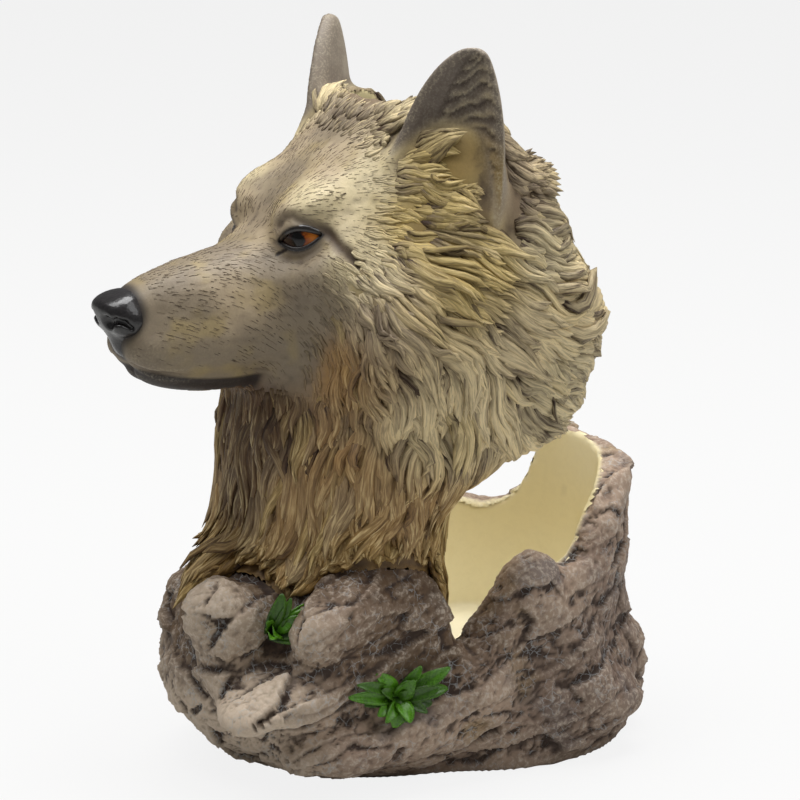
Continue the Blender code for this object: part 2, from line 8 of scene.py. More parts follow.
import bpy
import numpy as np
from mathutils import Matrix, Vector


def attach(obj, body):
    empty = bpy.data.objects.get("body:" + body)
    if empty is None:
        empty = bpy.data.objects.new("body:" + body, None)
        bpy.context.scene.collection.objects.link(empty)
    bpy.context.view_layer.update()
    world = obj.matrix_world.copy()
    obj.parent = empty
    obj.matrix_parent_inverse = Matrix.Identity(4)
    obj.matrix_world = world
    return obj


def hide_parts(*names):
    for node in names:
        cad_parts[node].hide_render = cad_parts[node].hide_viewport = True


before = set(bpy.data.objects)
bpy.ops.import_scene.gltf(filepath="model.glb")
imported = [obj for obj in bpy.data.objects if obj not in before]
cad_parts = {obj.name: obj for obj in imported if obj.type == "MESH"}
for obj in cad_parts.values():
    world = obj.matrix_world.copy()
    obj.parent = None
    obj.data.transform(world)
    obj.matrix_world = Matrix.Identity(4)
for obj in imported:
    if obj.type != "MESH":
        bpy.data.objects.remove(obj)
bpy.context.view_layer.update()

MM = 0.001
BODY = "root"
NODE = "wolf_casting"

# The bottle and what holds it
BOTTLE_RADIUS = 0.0385
BOTTLE_CLEARANCE = 0.0045
BORE_RADIUS = BOTTLE_RADIUS + BOTTLE_CLEARANCE
CUP_WALL = 0.0100
CUP_FLOOR = 0.0290

# The head
NOSE_TIP = (0.0, -0.1440, 0.1665)
NOSE_WIDTH = 0.0200
EYE = (0.0167, -0.0748, 0.1865)
EYE_RADIUS = 0.0090
EYE_TURN = (4, -12, 42)
EAR_LENGTH = 0.0430
EAR_WIDTH = 0.0370
EAR_THICKNESS = 0.0048
EAR_DEPTH = 0.0095
EAR_ROOT = (0.0, -0.0365, 0.2065)
EAR_SUNK = 0.0150
EAR_OPENING = (0.68, -0.73, 0.0)
EAR_UP = (0.04, 0.30, 0.95)

# Fineness at which the solid is sampled
GRID_STEP = 0.0016

# Locks of hair: each follows the lie of the coat and rises to its tip
LOCK_LENGTH = 0.032
LOCK_SPACING = 0.0095
# Lie of the coat on the wolf's left, in mm: a place, and the way the hair runs there
LIE = (
    ((12, -126, 168), (0.3, 1.0, -0.3)), ((17, -114, 162), (0.2, 1.0, -0.4)),
    ((0, -120, 176), (0, 1.0, 0.25)), ((20, -98, 150), (0, 0.85, -0.5)),
    ((28, -84, 171), (0.5, 0.6, -0.5)), ((35, -76, 158), (0.3, 0.5, -0.8)),
    ((4, -70, 206), (0.1, 0.8, 0.55)), ((20, -53, 216), (0.45, 0.85, 0.25)),
    ((35, -58, 199), (0.6, 0.8, 0)), ((49, -46, 190), (0.4, 0.85, -0.3)),
    ((50, -58, 175), (0.5, 0.6, -0.6)), ((59, -53, 160), (0.2, 0.6, -0.8)),
    ((59, -46, 136), (0, 0.25, -1.0)), ((60, -34, 174), (0.1, 0.85, -0.5)),
    ((60, -16, 166), (0, 0.9, -0.4)), ((56, 3, 163), (-0.3, 0.95, -0.15)),
    ((57, -5, 137), (-0.2, 0.85, -0.45)), ((43, -73, 142), (0, 0.1, -1.0)),
    ((36, -77, 124), (0, -0.05, -1.0)), ((19, -86, 115), (0, -0.1, -1.0)),
    ((27, -83, 99), (-0.1, -0.4, -0.9)), ((6, -99, 82), (0, -0.75, -0.65)),
    ((50, -59, 118), (0, -0.1, -1.0)), ((46, -56, 93), (0, -0.3, -0.95)),
    ((50, -40, 106), (-0.2, 0, -1.0)), ((3, -90, 122), (0, 0, -1.0)), ((49, -5, 196), (-0.1, 0.9, -0.35)),
    ((56, -25, 209), (0, 0.9, -0.35)), ((0, -50, 224), (0, 0.95, 0.3)), ((40, -24, 222), (0.3, 0.95, 0)),
)
LIE_REACH = 0.016

# Rock texture: tilted facets, stretched along the strata
FACET_SIZE = 0.0150
FACET_DEPTH = 0.0030
STRATA_TURN = (17, 0, 8)
STRATA_STRETCH = (1.0, 2.1, 0.62)

# Sections of the head along Y, in mm: y, top, bottom, half width, height of the widest line, squareness
HEAD_SECTIONS = (
    (-137, 168.5, 151, 6, 161, 2.2),
    (-132, 171.5, 147, 10.5, 159, 2.3),
    (-125, 174.5, 144, 13.5, 158, 2.4),
    (-114, 177.5, 142, 17, 157, 2.4),
    (-102, 180.5, 140, 19.5, 157, 2.3),
    (-93, 183.0, 138, 22.5, 158, 2.2),
    (-86, 187.5, 137, 26, 161, 2.1),
    (-78, 197.5, 136, 31, 167, 2.1),
    (-66, 209.5, 134, 38, 173, 2.1),
    (-50, 222.5, 130, 44, 178, 2.2),
    (-34, 229.0, 128, 48.5, 181, 2.3),
    (-16, 227.0, 126, 51, 183, 2.4),
    (2, 219.0, 124, 50, 181, 2.4),
)
# Sections of the mane and neck along Z, in mm: z, front, back, half width beyond the bore, squareness
MANE_SECTIONS = (
    (50, -104, -30, 1, 1.9),
    (64, -101, -31, 1, 1.9),
    (80, -93, -32, 1, 1.9),
    (97, -90, -28, 4, 1.9),
    (108, -90, -12, 9, 2.0),
    (118, -90, 14, 12, 2.0),
    (135, -88, 23, 15.5, 2.1),
    (153, -80, 25, 18, 2.2),
    (168, -70, 18, 17, 2.3),
    (190, -58, 1, 12.5, 2.4),
    (208, -50, -9, 8, 2.5),
    (222, -44, -13, 4, 2.5),
)
# Sections of the rock along Z, in mm: z, front, back beyond the bore, half width beyond the bore, squareness
ROCK_SECTIONS = (
    (0, -82, 3, -1, 2.2),
    (9, -101, 8, 6, 2.2),
    (22, -113, 10, 9, 2.3),
    (38, -117, 10, 9, 2.3),
    (54, -111, 9, 6, 2.2),
    (70, -102, 7, 3, 2.2),
)
# The cup's rim round the bottle's axis: degrees from the back (+Y) towards the wolf's left (+X), height in mm
RIM = (
    (-180, 62), (-140, 60), (-118, 50), (-95, 58), (-75, 64), (-52, 68), (-38, 74), (-24, 96), (-6, 100),
    (14, 99), (36, 96), (50, 90), (62, 84), (76, 70), (88, 69), (98, 73), (108, 62), (122, 47), (138, 42),
    (180, 62),
)
BACK_SQUARENESS = 3.2
# Tufts of leaves, in mm: the root, then each leaf's tip from the root
TUFTS = (
    ((34, -99, 58), ((5, 3, 9), (4, 8, 8), (3, 12, 5), (4, 11, 0), (4, -4, 6), (5, -4, 0), (6, 4, 4))),
    (
        (50, -61, 34),
        ((3, -17, 3), (4, -13, -3), (5, -8, -7), (5, -2, -8), (4, 8, -5), (3, 17, 0), (4, 16, 5), (5, 8, 8),
         (6, 0, 8), (5, -8, 5), (7, 5, 2)),
    ),
)
LEAF_WIDTH = 3.0
LEAF_THICKNESS = 1.7
# Boulders and ledges, in mm: centre, radii, degrees about X, Y and Z
BOULDERS = (
    ((18, -104, 54), (14, 15, 24), (24, 0, 12)),
    ((41, -70, 62), (13, 28, 15), (10, 0, 10)),
    ((33, -84, 41), (20, 36, 9), (16, 0, 12)),
    ((35, -55, 20), (20, 44, 11), (7, 0, 12)),
    ((-20, -92, 50), (17, 17, 17), (20, 0, -10)),
    ((-34, -66, 42), (17, 30, 12), (10, 0, -14)),
    ((-40, -62, 60), (13, 24, 14), (4, 0, -8)),
    ((-38, -40, 22), (16, 40, 13), (6, 0, -6)),
    ((44, 6, 22), (13, 32, 12), (-6, 0, -8)),
    ((-40, 8, 24), (14, 30, 13), (-6, 0, 10)),
    ((4, 46, 26), (30, 8, 14), (0, 6, 4)),
)
BOULDER_FILLET = 0.009
# Buttresses of the cup's wall, in mm: peak, foot, radius at each
BUTTRESSES = (
    ((45.5, -8, 63), (46, -27, 32), 7.5, 12),
    ((45.5, -8, 63), (47, 12, 28), 7.5, 12),
    ((-44, 16, 62), (-46, 2, 30), 8, 12),
    ((-22, 38, 62), (-26, 38, 28), 9, 12),
)


def vector(*values):
    return np.array(values, float)


def unit(vectors):
    """The same directions at length one, along the last axis."""
    return vectors / (np.linalg.norm(vectors, axis=-1, keepdims=True) + 1e-12)


def folded(points):
    """The points, with those on the wolf's right moved to their mirror places on its left."""
    return np.concatenate([np.abs(points[:, :1]), points[:, 1:]], 1)


def past_bore(points):
    """How far points lie outside the wall of the bottle's bore."""
    return np.hypot(points[:, 0], points[:, 1]) - BORE_RADIUS


def soft_min(a, b, k):
    """Union of two distances, with a fillet about k across."""
    h = np.maximum(k - np.abs(a - b), 0) / k
    return np.minimum(a, b) - h * h * k / 4


def soft_max(a, b, k):
    """Intersection of two distances, with a fillet about k across."""
    return -soft_min(-a, -b, k)


def turn(about_x, about_y, about_z):
    """Rotation matrix from three angles in degrees, X first."""
    x, y, z = np.radians([about_x, about_y, about_z])
    turn_x = np.array([[1, 0, 0], [0, np.cos(x), -np.sin(x)], [0, np.sin(x), np.cos(x)]])
    turn_y = np.array([[np.cos(y), 0, np.sin(y)], [0, 1, 0], [-np.sin(y), 0, np.cos(y)]])
    turn_z = np.array([[np.cos(z), -np.sin(z), 0], [np.sin(z), np.cos(z), 0], [0, 0, 1]])
    return turn_z @ turn_y @ turn_x


def ellipsoid(p, centre, radii, rotation=None):
    """Distance to an ellipsoid; centre and radii in mm."""
    q = p - vector(*centre) * MM
    if rotation is not None:
        q = q @ rotation
    r = vector(*radii) * MM
    near = np.sqrt(((q / r) ** 2).sum(-1))
    slope = np.sqrt(((q / (r * r)) ** 2).sum(-1)) + 1e-9
    return near * (near - 1) / slope


def rod(p, start, end, start_radius, end_radius):
    """Distance to a round rod that tapers from one end to the other; all sizes in mm."""
    a, b = vector(*start) * MM, vector(*end) * MM
    along = np.clip(((p - a) @ (b - a)) / ((b - a) @ (b - a)), 0, 1)
    axis_point = a + along[:, None] * (b - a)
    radius = start_radius + (end_radius - start_radius) * along
    return np.sqrt(((p - axis_point) ** 2).sum(-1)) - radius * MM


def spline(t, knots, values):
    """Smooth curve through the values at the knots (Hermite, with averaged slopes)."""
    knots, values = np.asarray(knots, float), np.asarray(values, float)
    slopes = np.gradient(values, knots)
    t = np.clip(t, knots[0], knots[-1])
    i = np.clip(np.searchsorted(knots, t) - 1, 0, len(knots) - 2)
    gap = knots[i + 1] - knots[i]
    s = (t - knots[i]) / gap
    return (
        (2 * s**3 - 3 * s**2 + 1) * values[i]
        + (s**3 - 2 * s**2 + s) * gap * slopes[i]
        + (3 * s**2 - 2 * s**3) * values[i + 1]
        + (s**3 - s**2) * gap * slopes[i + 1]
    )


def round_section(across, along, half_across, half_along, squareness):
    """Distance to a superellipse: the ray's length times how far its end lies past the outline."""
    n = squareness
    reach = ((np.abs(across) / half_across) ** n + (np.abs(along) / half_along) ** n + 1e-9) ** (1 / n)
    ray = np.sqrt(across**2 + along**2)
    outside = ray * (1 - 1 / np.maximum(reach, 0.05))
    return np.where(reach < 0.05, -np.minimum(half_across, half_along), outside)


def head(p):
    """Skull and muzzle: upright sections lofted along Y."""
    x, y, z = p[:, 0], p[:, 1], p[:, 2]
    rows = np.array(HEAD_SECTIONS, float)
    knots = rows[:, 0] * MM
    top, bottom, half, widest = (spline(y, knots, rows[:, i] * MM) for i in range(1, 5))
    squareness = spline(y, knots, rows[:, 5])
    height = np.where(z > widest, top - widest, widest - bottom)
    d = round_section(x, z - widest, half, height, squareness)
    return soft_max(d * 0.9, np.maximum(knots[0] - y, y - knots[-1]), 6 * MM)


def column(p, rows, back_from_bore):
    """Level sections lofted along Z, each an oval from its front to its back, wider than the bore by its
    cover. The front half's squareness comes from the table; the back half is squarer, to stand clear of the
    bore."""
    x, y, z = p[:, 0], p[:, 1], p[:, 2]
    rows = np.array(rows, float)
    knots = rows[:, 0] * MM
    front, back, cover = (spline(z, knots, rows[:, i] * MM) for i in range(1, 4))
    squareness = spline(z, knots, rows[:, 4])
    back = back + (BORE_RADIUS if back_from_bore else 0)
    along = y - (front + back) / 2
    squareness = np.where(along < 0, squareness, BACK_SQUARENESS)
    d = round_section(x, along, BORE_RADIUS + cover, (back - front) / 2, squareness)
    return d * 0.9, knots


def mane(p):
    d, knots = column(p, MANE_SECTIONS, False)
    return soft_max(d, np.maximum(knots[0] - p[:, 2], p[:, 2] - knots[-1]), 8 * MM)


def rock_core(p):
    d, knots = column(p, ROCK_SECTIONS, True)
    return soft_max(d, p[:, 2] - knots[-1], 8 * MM)


def from_ear(p):
    """Where points lie on the nearer ear, in metres: up along it, across it towards its back, and out of its
    opening; then how far up from its foot to its tip as a share, and the opening's direction."""
    opening = unit(vector(*EAR_OPENING))
    up = unit(vector(*EAR_UP) - opening * (vector(*EAR_UP) @ opening))
    q = folded(p) - vector(BORE_RADIUS + EAR_ROOT[0], *EAR_ROOT[1:])
    rise = q @ up
    level = np.clip((rise + EAR_SUNK) / (EAR_LENGTH + EAR_SUNK), 0, 1)
    return rise, q @ np.cross(opening, up), q @ opening, level, opening


def ear(p):
    """A cupped leaf on each side: a thin shell bowed away from its opening, narrowing to a round tip."""
    rise, across, depth, level, _ = from_ear(p)
    half = np.where(across > 0, (1 - level**2.8) ** 0.60, (1 - level**1.8) ** 0.75)
    half = EAR_WIDTH / 2 * half + 1.5 * MM
    bow = -EAR_DEPTH * np.clip(1 - (across / half) ** 2, 0, 1) * np.sqrt(1 - level)
    wall = np.abs(depth - bow) - EAR_THICKNESS / 2 * (1.5 - 0.7 * level)
    rim = (np.abs(across) - half) * 0.8
    ends = np.maximum(rise - EAR_LENGTH, -EAR_SUNK - rise)
    return soft_max(soft_max(wall * 0.8, rim, EAR_THICKNESS / 2), ends, EAR_THICKNESS / 2)


def cup(p):
    """The wall round the bore, as high as the rim's curve says at each angle."""
    angle = np.degrees(np.arctan2(p[:, 0], p[:, 1]))
    rows = np.array(RIM, float)
    top = spline(angle, rows[:, 0], rows[:, 1] * MM)
    return soft_max(past_bore(p) - CUP_WALL, (p[:, 2] - top) * 0.7, CUP_WALL * 0.6)


def from_eye(p):
    """Where points lie as seen from the nearer eye's centre: across it, behind it and up it."""
    return (folded(p) - vector(*EYE)) @ turn(*EYE_TURN)


def lid_heights(across):
    """How high the upper and the lower lid's edges lie, at a place across the eye."""
    share = across / (0.88 * EYE_RADIUS)
    return (0.44 - 0.46 * share**2) * EYE_RADIUS, (-0.34 + 0.36 * share**2) * EYE_RADIUS


def face(p):
    """The head with its brows, cheeks, lips, jaw, eye sockets and mouth, and the eyes between their lids."""
    q = folded(p)
    d = head(p)
    brow = ellipsoid(q, (16, -73.5, 196), (10, 12, 6), turn(24, 10, -28))
    cheek = ellipsoid(q, (27, -63, 172), (12, 20, 15), turn(-10, 0, 10))
    lip = ellipsoid(q, (8, -113, 151), (9.8, 22, 10.5))
    jaw = ellipsoid(q, (3, -104, 142.5), (12.5, 27, 7.5), turn(-2, 0, 0))
    for bulge, fillet in ((brow, 7), (cheek, 12), (lip, 7), (jaw, 2)):
        d = soft_min(d, bulge, fillet * MM)
    mouth = rod(q, (7.5, -136, 146.5), (18.5, -114, 141.5), 1.2, 1.2)
    mouth = np.minimum(mouth, rod(q, (18.5, -114, 141.5), (25, -93, 139.5), 1.2, 1.6))
    socket = ellipsoid(q, (25.5, -84.5, 186), (11, 8.5, 6.5), turn(0, -12, 42))
    furrow = rod(q, (0, -94, 199), (0, -50, 229), 2.5, 3)
    for hollow, fillet in ((mouth, 2), (socket, 7), (furrow, 8)):
        d = soft_max(d, -hollow, fillet * MM)
    centre, radius = vector(*EYE) / MM, EYE_RADIUS / MM
    local = from_eye(p)
    upper, lower = lid_heights(local[:, 0])
    opening = np.maximum(np.maximum(local[:, 2] - upper, lower - local[:, 2]), local[:, 1])
    d = soft_min(d, ellipsoid(q, centre, [radius + 1.3] * 3), 3 * MM)
    d = soft_max(d, -opening, 0.8 * MM)
    return soft_min(d, ellipsoid(q, centre, [radius] * 3), 0.3 * MM)


def nose(p):
    """The nose pad: a rounded block, hollowed by two nostrils that curl out to the sides, and split below."""
    q = folded(p)
    x, y, z = (value / MM for value in NOSE_TIP)
    half = NOSE_WIDTH / 2 / MM
    pad = ellipsoid(q, (x, y + 8, z - 2), (half, 8.5, 7.5), turn(-16, 0, 0))
    wing = ellipsoid(q, (x + half * 0.62, y + 8, z - 4), (half * 0.42, 6.5, 5))
    pad = soft_min(pad, wing, 2.5 * MM)
    base = ellipsoid(q, (x, y + 11, z - 10), (half * 0.5, 5.5, 8))
    pad = soft_min(pad, base, 4 * MM)
    hole = ellipsoid(q, (x + half * 0.5, y + 1.2, z - 3.2), (2.2, 3.4, 2.4))
    curl = rod(q, (x + half * 0.6, y + 1.5, z - 4.5), (x + half * 1.0, y + 6.5, z - 5), 1.1, 0.8)
    split = rod(q, (x, y, z - 5.5), (x, y + 8.5, z - 20), 0.7, 0.7)
    for groove in (hole, curl, split):
        pad = soft_max(pad, -groove, 1.2 * MM)
    return pad


def rocks(p):
    """Boulders and tilted ledges round the foot, and the cup's wall."""
    d = rock_core(p)
    low_behind_neck = (p[:, 2] - 36 * MM) * 0.8 - np.clip(-p[:, 1] - 30 * MM, 0, 50 * MM) * 2
    d = soft_max(d, low_behind_neck, 6 * MM)
    for centre, radii, rotation in BOULDERS:
        d = soft_min(d, ellipsoid(p, centre, radii, turn(*rotation)), BOULDER_FILLET)
    wall = cup(p)
    for peak, foot, peak_radius, foot_radius in BUTTRESSES:
        wall = soft_min(wall, rod(p, peak, foot, peak_radius, foot_radius), 8 * MM)
    return soft_min(d, wall, 6 * MM)


def chest_and_mane(p):
    """The neck's column with the ruff on each side and the chest in front."""
    q = folded(p)
    ruff = ellipsoid(q, (42, -42, 154), (17, 30, 27), turn(-25, 0, 0))
    chest = ellipsoid(q, (0, -95, 60), (22, 12, 20), turn(-34, 0, 0))
    return soft_min(soft_min(mane(p), ruff, 14 * MM), chest, 8 * MM)


def bare_coat(p):
    """The parts that carry fur, with the ears and without the nose pad, which is a piece of its own."""
    return soft_min(soft_min(face(p), chest_and_mane(p), 10 * MM), ear(p), 5 * MM)


def form(p):
    """The whole outside, before hair and rock texture and before the bore."""
    coat = soft_min(bare_coat(p), nose(p), 1.5 * MM)
    return np.maximum(soft_min(coat, rocks(p), 2.5 * MM), -p[:, 2])


def sample(distance, low, high, step):
    """The distance on a grid. The grid is halved three times, and each time only the points near the
    surface are worked out again; the others keep the value of their nearest coarse point."""
    low, high = vector(*low), vector(*high)
    coarse = step * 8
    counts = np.ceil((high - low) / coarse).astype(int) + 1
    values = np.zeros(counts)
    near = np.ones(counts, bool)
    while True:
        place = np.argwhere(near)
        values[near] = distance(place * coarse + low)
        if coarse < step * 1.5:
            return values
        near = np.abs(values) < 1.3 * coarse
        coarse = coarse / 2
        nearest = np.ix_(*(np.round(np.arange(2 * n - 1) / 2).astype(int) for n in values.shape))
        values, near = values[nearest], near[nearest]


def surface(values, low, step):
    """Surface nets: one point in each grid cell that the surface crosses, at the mean of the crossings on
    its edges, and one quad round each grid edge that it crosses. Returns points and quads that face
    outwards."""
    inside = values < 0
    cells = tuple(n - 1 for n in values.shape)
    corners = [(a, b, c) for a in (0, 1) for b in (0, 1) for c in (0, 1)]
    full = sum(inside[a:a + cells[0], b:b + cells[1], c:c + cells[2]].astype(np.int8) for a, b, c in corners)
    crossed = (full > 0) & (full < 8)
    cell = np.argwhere(crossed)
    number = np.full(cells, -1)
    number[crossed] = np.arange(len(cell))
    total, count = np.zeros((len(cell), 3)), np.zeros(len(cell))
    for i, one in enumerate(corners):
        for other in corners[i + 1:]:
            if np.abs(np.subtract(one, other)).sum() != 1:
                continue
            a = values[tuple((cell + one).T)]
            b = values[tuple((cell + other).T)]
            cut = (a < 0) != (b < 0)
            share = np.where(cut, a / np.where(cut, a - b, 1), 0)
            total += np.where(cut[:, None], one + share[:, None] * np.subtract(other, one), 0)
            count += cut
    points = (cell + total / count[:, None]) * step + np.array(low)
    quads = []
    for axis in range(3):
        others = [i for i in range(3) if i != axis]
        near, far = [slice(1, -1)] * 3, [slice(1, -1)] * 3
        near[axis], far[axis] = slice(0, -1), slice(1, None)
        changes = inside[tuple(near)] != inside[tuple(far)]
        edge = np.argwhere(changes)
        leaving = inside[tuple(near)][changes]
        edge[:, others] += 1
        ring = []
        for back_a, back_b in ((1, 1), (0, 1), (0, 0), (1, 0)):
            place = edge.copy()
            place[:, others[0]] -= back_a
            place[:, others[1]] -= back_b
            ring.append(number[tuple(place.T)])
        quad = np.stack(ring, 1)
        backwards = leaving if axis == 1 else ~leaving
        quad[backwards] = quad[backwards][:, ::-1]
        quads.append(quad)
    return points, np.concatenate(quads)


def smooth(low, high, value):
    """An eased step from 0 to 1 as the value goes from low to high."""
    t = np.clip((value - low) / (high - low), 0, 1)
    return t * t * (3 - 2 * t)


def ramp(low, high, value):
    """An eased step whose ends are given in mm."""
    return smooth(low * MM, high * MM, value)


def slope(distance, points, span=0.4 * MM):
    """Unit normals of a distance function, from central differences."""
    normal = np.empty_like(points)
    for i in range(3):
        step = np.zeros(3)
        step[i] = span
        normal[:, i] = distance(points + step) - distance(points - step)
    return unit(normal)


def lie(points, normals):
    """The way the hair runs: the guides' directions, each weighted by how near it is, laid along the
    surface."""
    mirrored = folded(points)
    total = np.zeros_like(points)
    for place, way in LIE:
        far = ((mirrored - vector(*place) * MM) ** 2).sum(1) / LIE_REACH**2
        total += vector(*way) / (far[:, None] + 0.3) ** 2
    total[:, 0] *= np.where(points[:, 0] < 0, -1.0, 1.0)
    total -= (total * normals).sum(1, keepdims=True) * normals
    return unit(total)


def shag(points):
    """How long the coat is: none on muzzle, brow, ears and rock, full on cheeks, neck and mane."""
    y, z = points[:, 1], points[:, 2]
    start = np.where(z > 0.195, -0.074, -0.084)
    on_face = smooth(0.0, 0.030, y - start)
    below_jaw = smooth(0.137, 0.129, z)
    amount = np.maximum(on_face, below_jaw)
    amount = amount * ramp(0, 3, ear(points))
    return amount * ramp(-1, 3, rocks(points))


def spread(points, spacing, random):
    """Numbers of points about one spacing apart: one for each cell of a grid."""
    order = random.permutation(len(points))
    cell = np.floor(points[order] / spacing).astype(np.int64) + 500
    key = (cell[:, 0] * 1000 + cell[:, 1]) * 1000 + cell[:, 2]
    return order[np.unique(key, return_index=True)[1]]


def facets(points):
    """Rock relief. Space is split into cells round jittered points, stretched along the strata; inside each
    cell the surface is raised by a tilted plane, so that neighbouring cells meet in edges and steps."""
    q = points @ turn(*STRATA_TURN) / (vector(*STRATA_STRETCH) * FACET_SIZE)
    base = np.floor(q).astype(np.int64)
    best = np.full(len(q), np.inf)
    relief = np.zeros(len(q))
    scatter = np.array([[12.99, 26.65, 39.35], [78.23, 11.14, 94.67], [37.72, 83.16, 7.91]])
    for corner in np.ndindex(3, 3, 3):
        cell = base + np.array(corner) - 1
        value = np.mod(np.sin(cell @ scatter) * 43758.5, 1)
        offset = q - cell - value
        far = (offset**2).sum(1)
        tilt = np.mod(value[:, ::-1] * 17.3, 1) * 2 - 1
        plane = (offset * tilt).sum(1) * 0.9 + tilt[:, 0] * 0.5
        relief = np.where(far < best, plane, relief)
        best = np.minimum(best, far)
    return relief * FACET_DEPTH


def bore(p):
    """The bottle's space as a distance."""
    return np.maximum(past_bore(p), CUP_FLOOR - p[:, 2])


def skin(p):
    """The whole outside with the bottle's bore cut out of it, its edges eased by about 1 mm."""
    solid = soft_min(bare_coat(p), rocks(p), 2.5 * MM)
    return soft_max(np.maximum(solid, -p[:, 2]), -bore(p), 1.2 * MM)


# Noise and textures in space

def hashed(cell, seed):
    """A value from 0 to 1 for each whole-numbered cell, the same each time."""
    a, b, c = (cell[..., i].astype(np.uint32) for i in range(3))
    n = a * np.uint32(73856093) ^ b * np.uint32(19349663) ^ c * np.uint32(83492791)
    n = (n ^ np.uint32(seed * 7919 + 17)) * np.uint32(2654435761)
    n = (n ^ (n >> np.uint32(15))) * np.uint32(2246822519)
    return ((n ^ (n >> np.uint32(13))) & np.uint32(0xFFFF)) / 65535.0


def noise(points, size, seed=0):
    """Smooth noise from -1 to 1: random values at the corners of cubes, sized in mm, eased between them."""
    q = points / (size * MM)
    base = np.floor(q).astype(np.int64)
    t = q - base
    t = t * t * (3 - 2 * t)
    total = np.zeros(len(points))
    for corner in np.ndindex(2, 2, 2):
        weight = np.prod(np.where(corner, t, 1 - t), axis=1)
        total += weight * hashed(base + np.array(corner), seed)
    return total * 2 - 1


def rough(points, size, octaves=4, seed=0):
    """Noise added to itself at half the size and half the height, several times."""
    total = np.zeros(len(points))
    for k in range(octaves):
        total += noise(points + k * 0.37, size / 2**k, seed + k) / 2**k
    return total


def cells(points, size, seed=0):
    """Space split round jittered points: distance to the nearest, to the second nearest, the height of a
    tilted plane through the nearest, and a random value for it. Distances are in cells."""
    q = points / (size * MM)
    base = np.floor(q).astype(np.int64)
    first, second = np.full(len(q), 9.0), np.full(len(q), 9.0)
    plane, value = np.zeros(len(q)), np.zeros(len(q))
    for corner in np.ndindex(3, 3, 3):
        cell = base + np.array(corner) - 1
        jitter = np.stack([hashed(cell, seed + i) for i in range(3)], 1)
        tilt = np.stack([hashed(cell, seed + 5 + i) for i in range(3)], 1) * 2 - 1
        offset = q - cell - jitter
        far = np.sqrt((offset**2).sum(1))
        nearer = far < first
        second = np.where(nearer, first, np.minimum(second, far))
        plane = np.where(nearer, (offset * tilt).sum(1) + tilt[:, 0] * 0.5, plane)
        value = np.where(nearer, tilt[:, 1] * 0.5 + 0.5, value)
        first = np.minimum(first, far)
    return first, second, plane, value


# Mesh tools

def vertex_normals(points, quads):
    """Unit normals: each quad's diagonals crossed, added up at its corners."""
    flat = np.cross(points[quads[:, 2]] - points[quads[:, 0]], points[quads[:, 3]] - points[quads[:, 1]])
    corners = quads.ravel()
    total = np.stack([np.bincount(corners, np.repeat(flat[:, i], 4), len(points)) for i in range(3)], 1)
    return total / (np.linalg.norm(total, axis=1, keepdims=True) + 1e-15)


def hollows(points, quads, rounds):
    """How far each point lies below the mean of its neighbours, averaged several times over: positive in
    grooves, negative on edges and crests."""
    i = quads.ravel()
    j = np.roll(quads, -1, axis=1).ravel()
    size = len(points)
    count = np.bincount(i, minlength=size) + np.bincount(j, minlength=size) + 1e-9
    mean = points
    for _ in range(rounds):
        sums = [np.bincount(i, mean[j, k], size) + np.bincount(j, mean[i, k], size) for k in range(3)]
        mean = np.stack(sums, 1) / count[:, None]
    return ((mean - points) * vertex_normals(points, quads)).sum(1)


def keep_faces(points, quads, kept):
    """Only the quads marked as kept, with the points that they use."""
    quads = quads[kept]
    used, quads = np.unique(quads, return_inverse=True)
    return points[used], quads.reshape(-1, 4)


def piece(name, points, faces, material, uv=None, **attributes):
    """A mesh object from whole arrays; faces is a list of arrays, one for each number of corners. It rides
    on the casting's body and stands for its solid."""
    corners = np.concatenate([np.asarray(f).ravel() for f in faces])
    sizes = np.concatenate([np.full(len(f), f.shape[1]) for f in faces])
    mesh = bpy.data.meshes.new(name)
    mesh.vertices.add(len(points))
    mesh.vertices.foreach_set("co", np.ascontiguousarray(points, np.float32).ravel())
    mesh.loops.add(len(corners))
    mesh.loops.foreach_set("vertex_index", corners.astype(np.int32))
    mesh.polygons.add(len(sizes))
    mesh.polygons.foreach_set("loop_start", (np.cumsum(sizes) - sizes).astype(np.int32))
    mesh.polygons.foreach_set("use_smooth", np.ones(len(sizes), bool))
    mesh.update(calc_edges=True)
    mesh.validate()
    for key, values in attributes.items():
        kind, field = "FLOAT", "value"
        if values.ndim == 2:
            kind, field = "FLOAT_COLOR", "color"
            values = np.concatenate([values, np.ones((len(values), 1))], 1)
        layer = mesh.attributes.new(key, kind, "POINT")
        layer.data.foreach_set(field, values.astype(np.float32).ravel())
    if uv is not None:
        layer = mesh.uv_layers.new(name="strands")
        layer.data.foreach_set("uv", uv[corners].astype(np.float32).ravel())
    mesh.materials.append(material)
    made = bpy.data.objects.new(name, mesh)
    bpy.context.collection.objects.link(made)
    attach(made, BODY)
    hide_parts(NODE)
    return made


def ring_quads(number):
    """Quads between neighbouring rings of points, numbered as paths x stations x ring."""
    following = np.roll(number, -1, axis=2)
    ring = [number[:, :-1], number[:, 1:], following[:, 1:], following[:, :-1]]
    return np.stack(ring, -1).reshape(-1, 4)


def carry(centres, sides, ups, across, height):
    """Closed profiles carried along paths. Arrays are paths x stations x ring: each ring point is its
    station's centre, plus the side direction times across, plus the up direction times height. The first
    and last rings are closed with a face each. Returns points and the list of faces, all facing
    outwards."""
    points = centres[:, :, None] + sides[:, :, None] * across[..., None] + ups[:, :, None] * height[..., None]
    number = np.arange(across.size).reshape(across.shape)
    quads = ring_quads(number)
    points = points.reshape(-1, 3)
    a, b, c, d = (points[quads[:, i]] for i in range(4))
    from_middle = a - points.mean(0)
    volume = ((np.cross(b - a, c - a) + np.cross(c - a, d - a)) * from_middle).sum()
    faces = [quads, np.concatenate([number[:, 0], number[:, -1, ::-1]])]
    if volume < 0:
        faces = [f[:, ::-1] for f in faces]
    return points, faces


# Paint

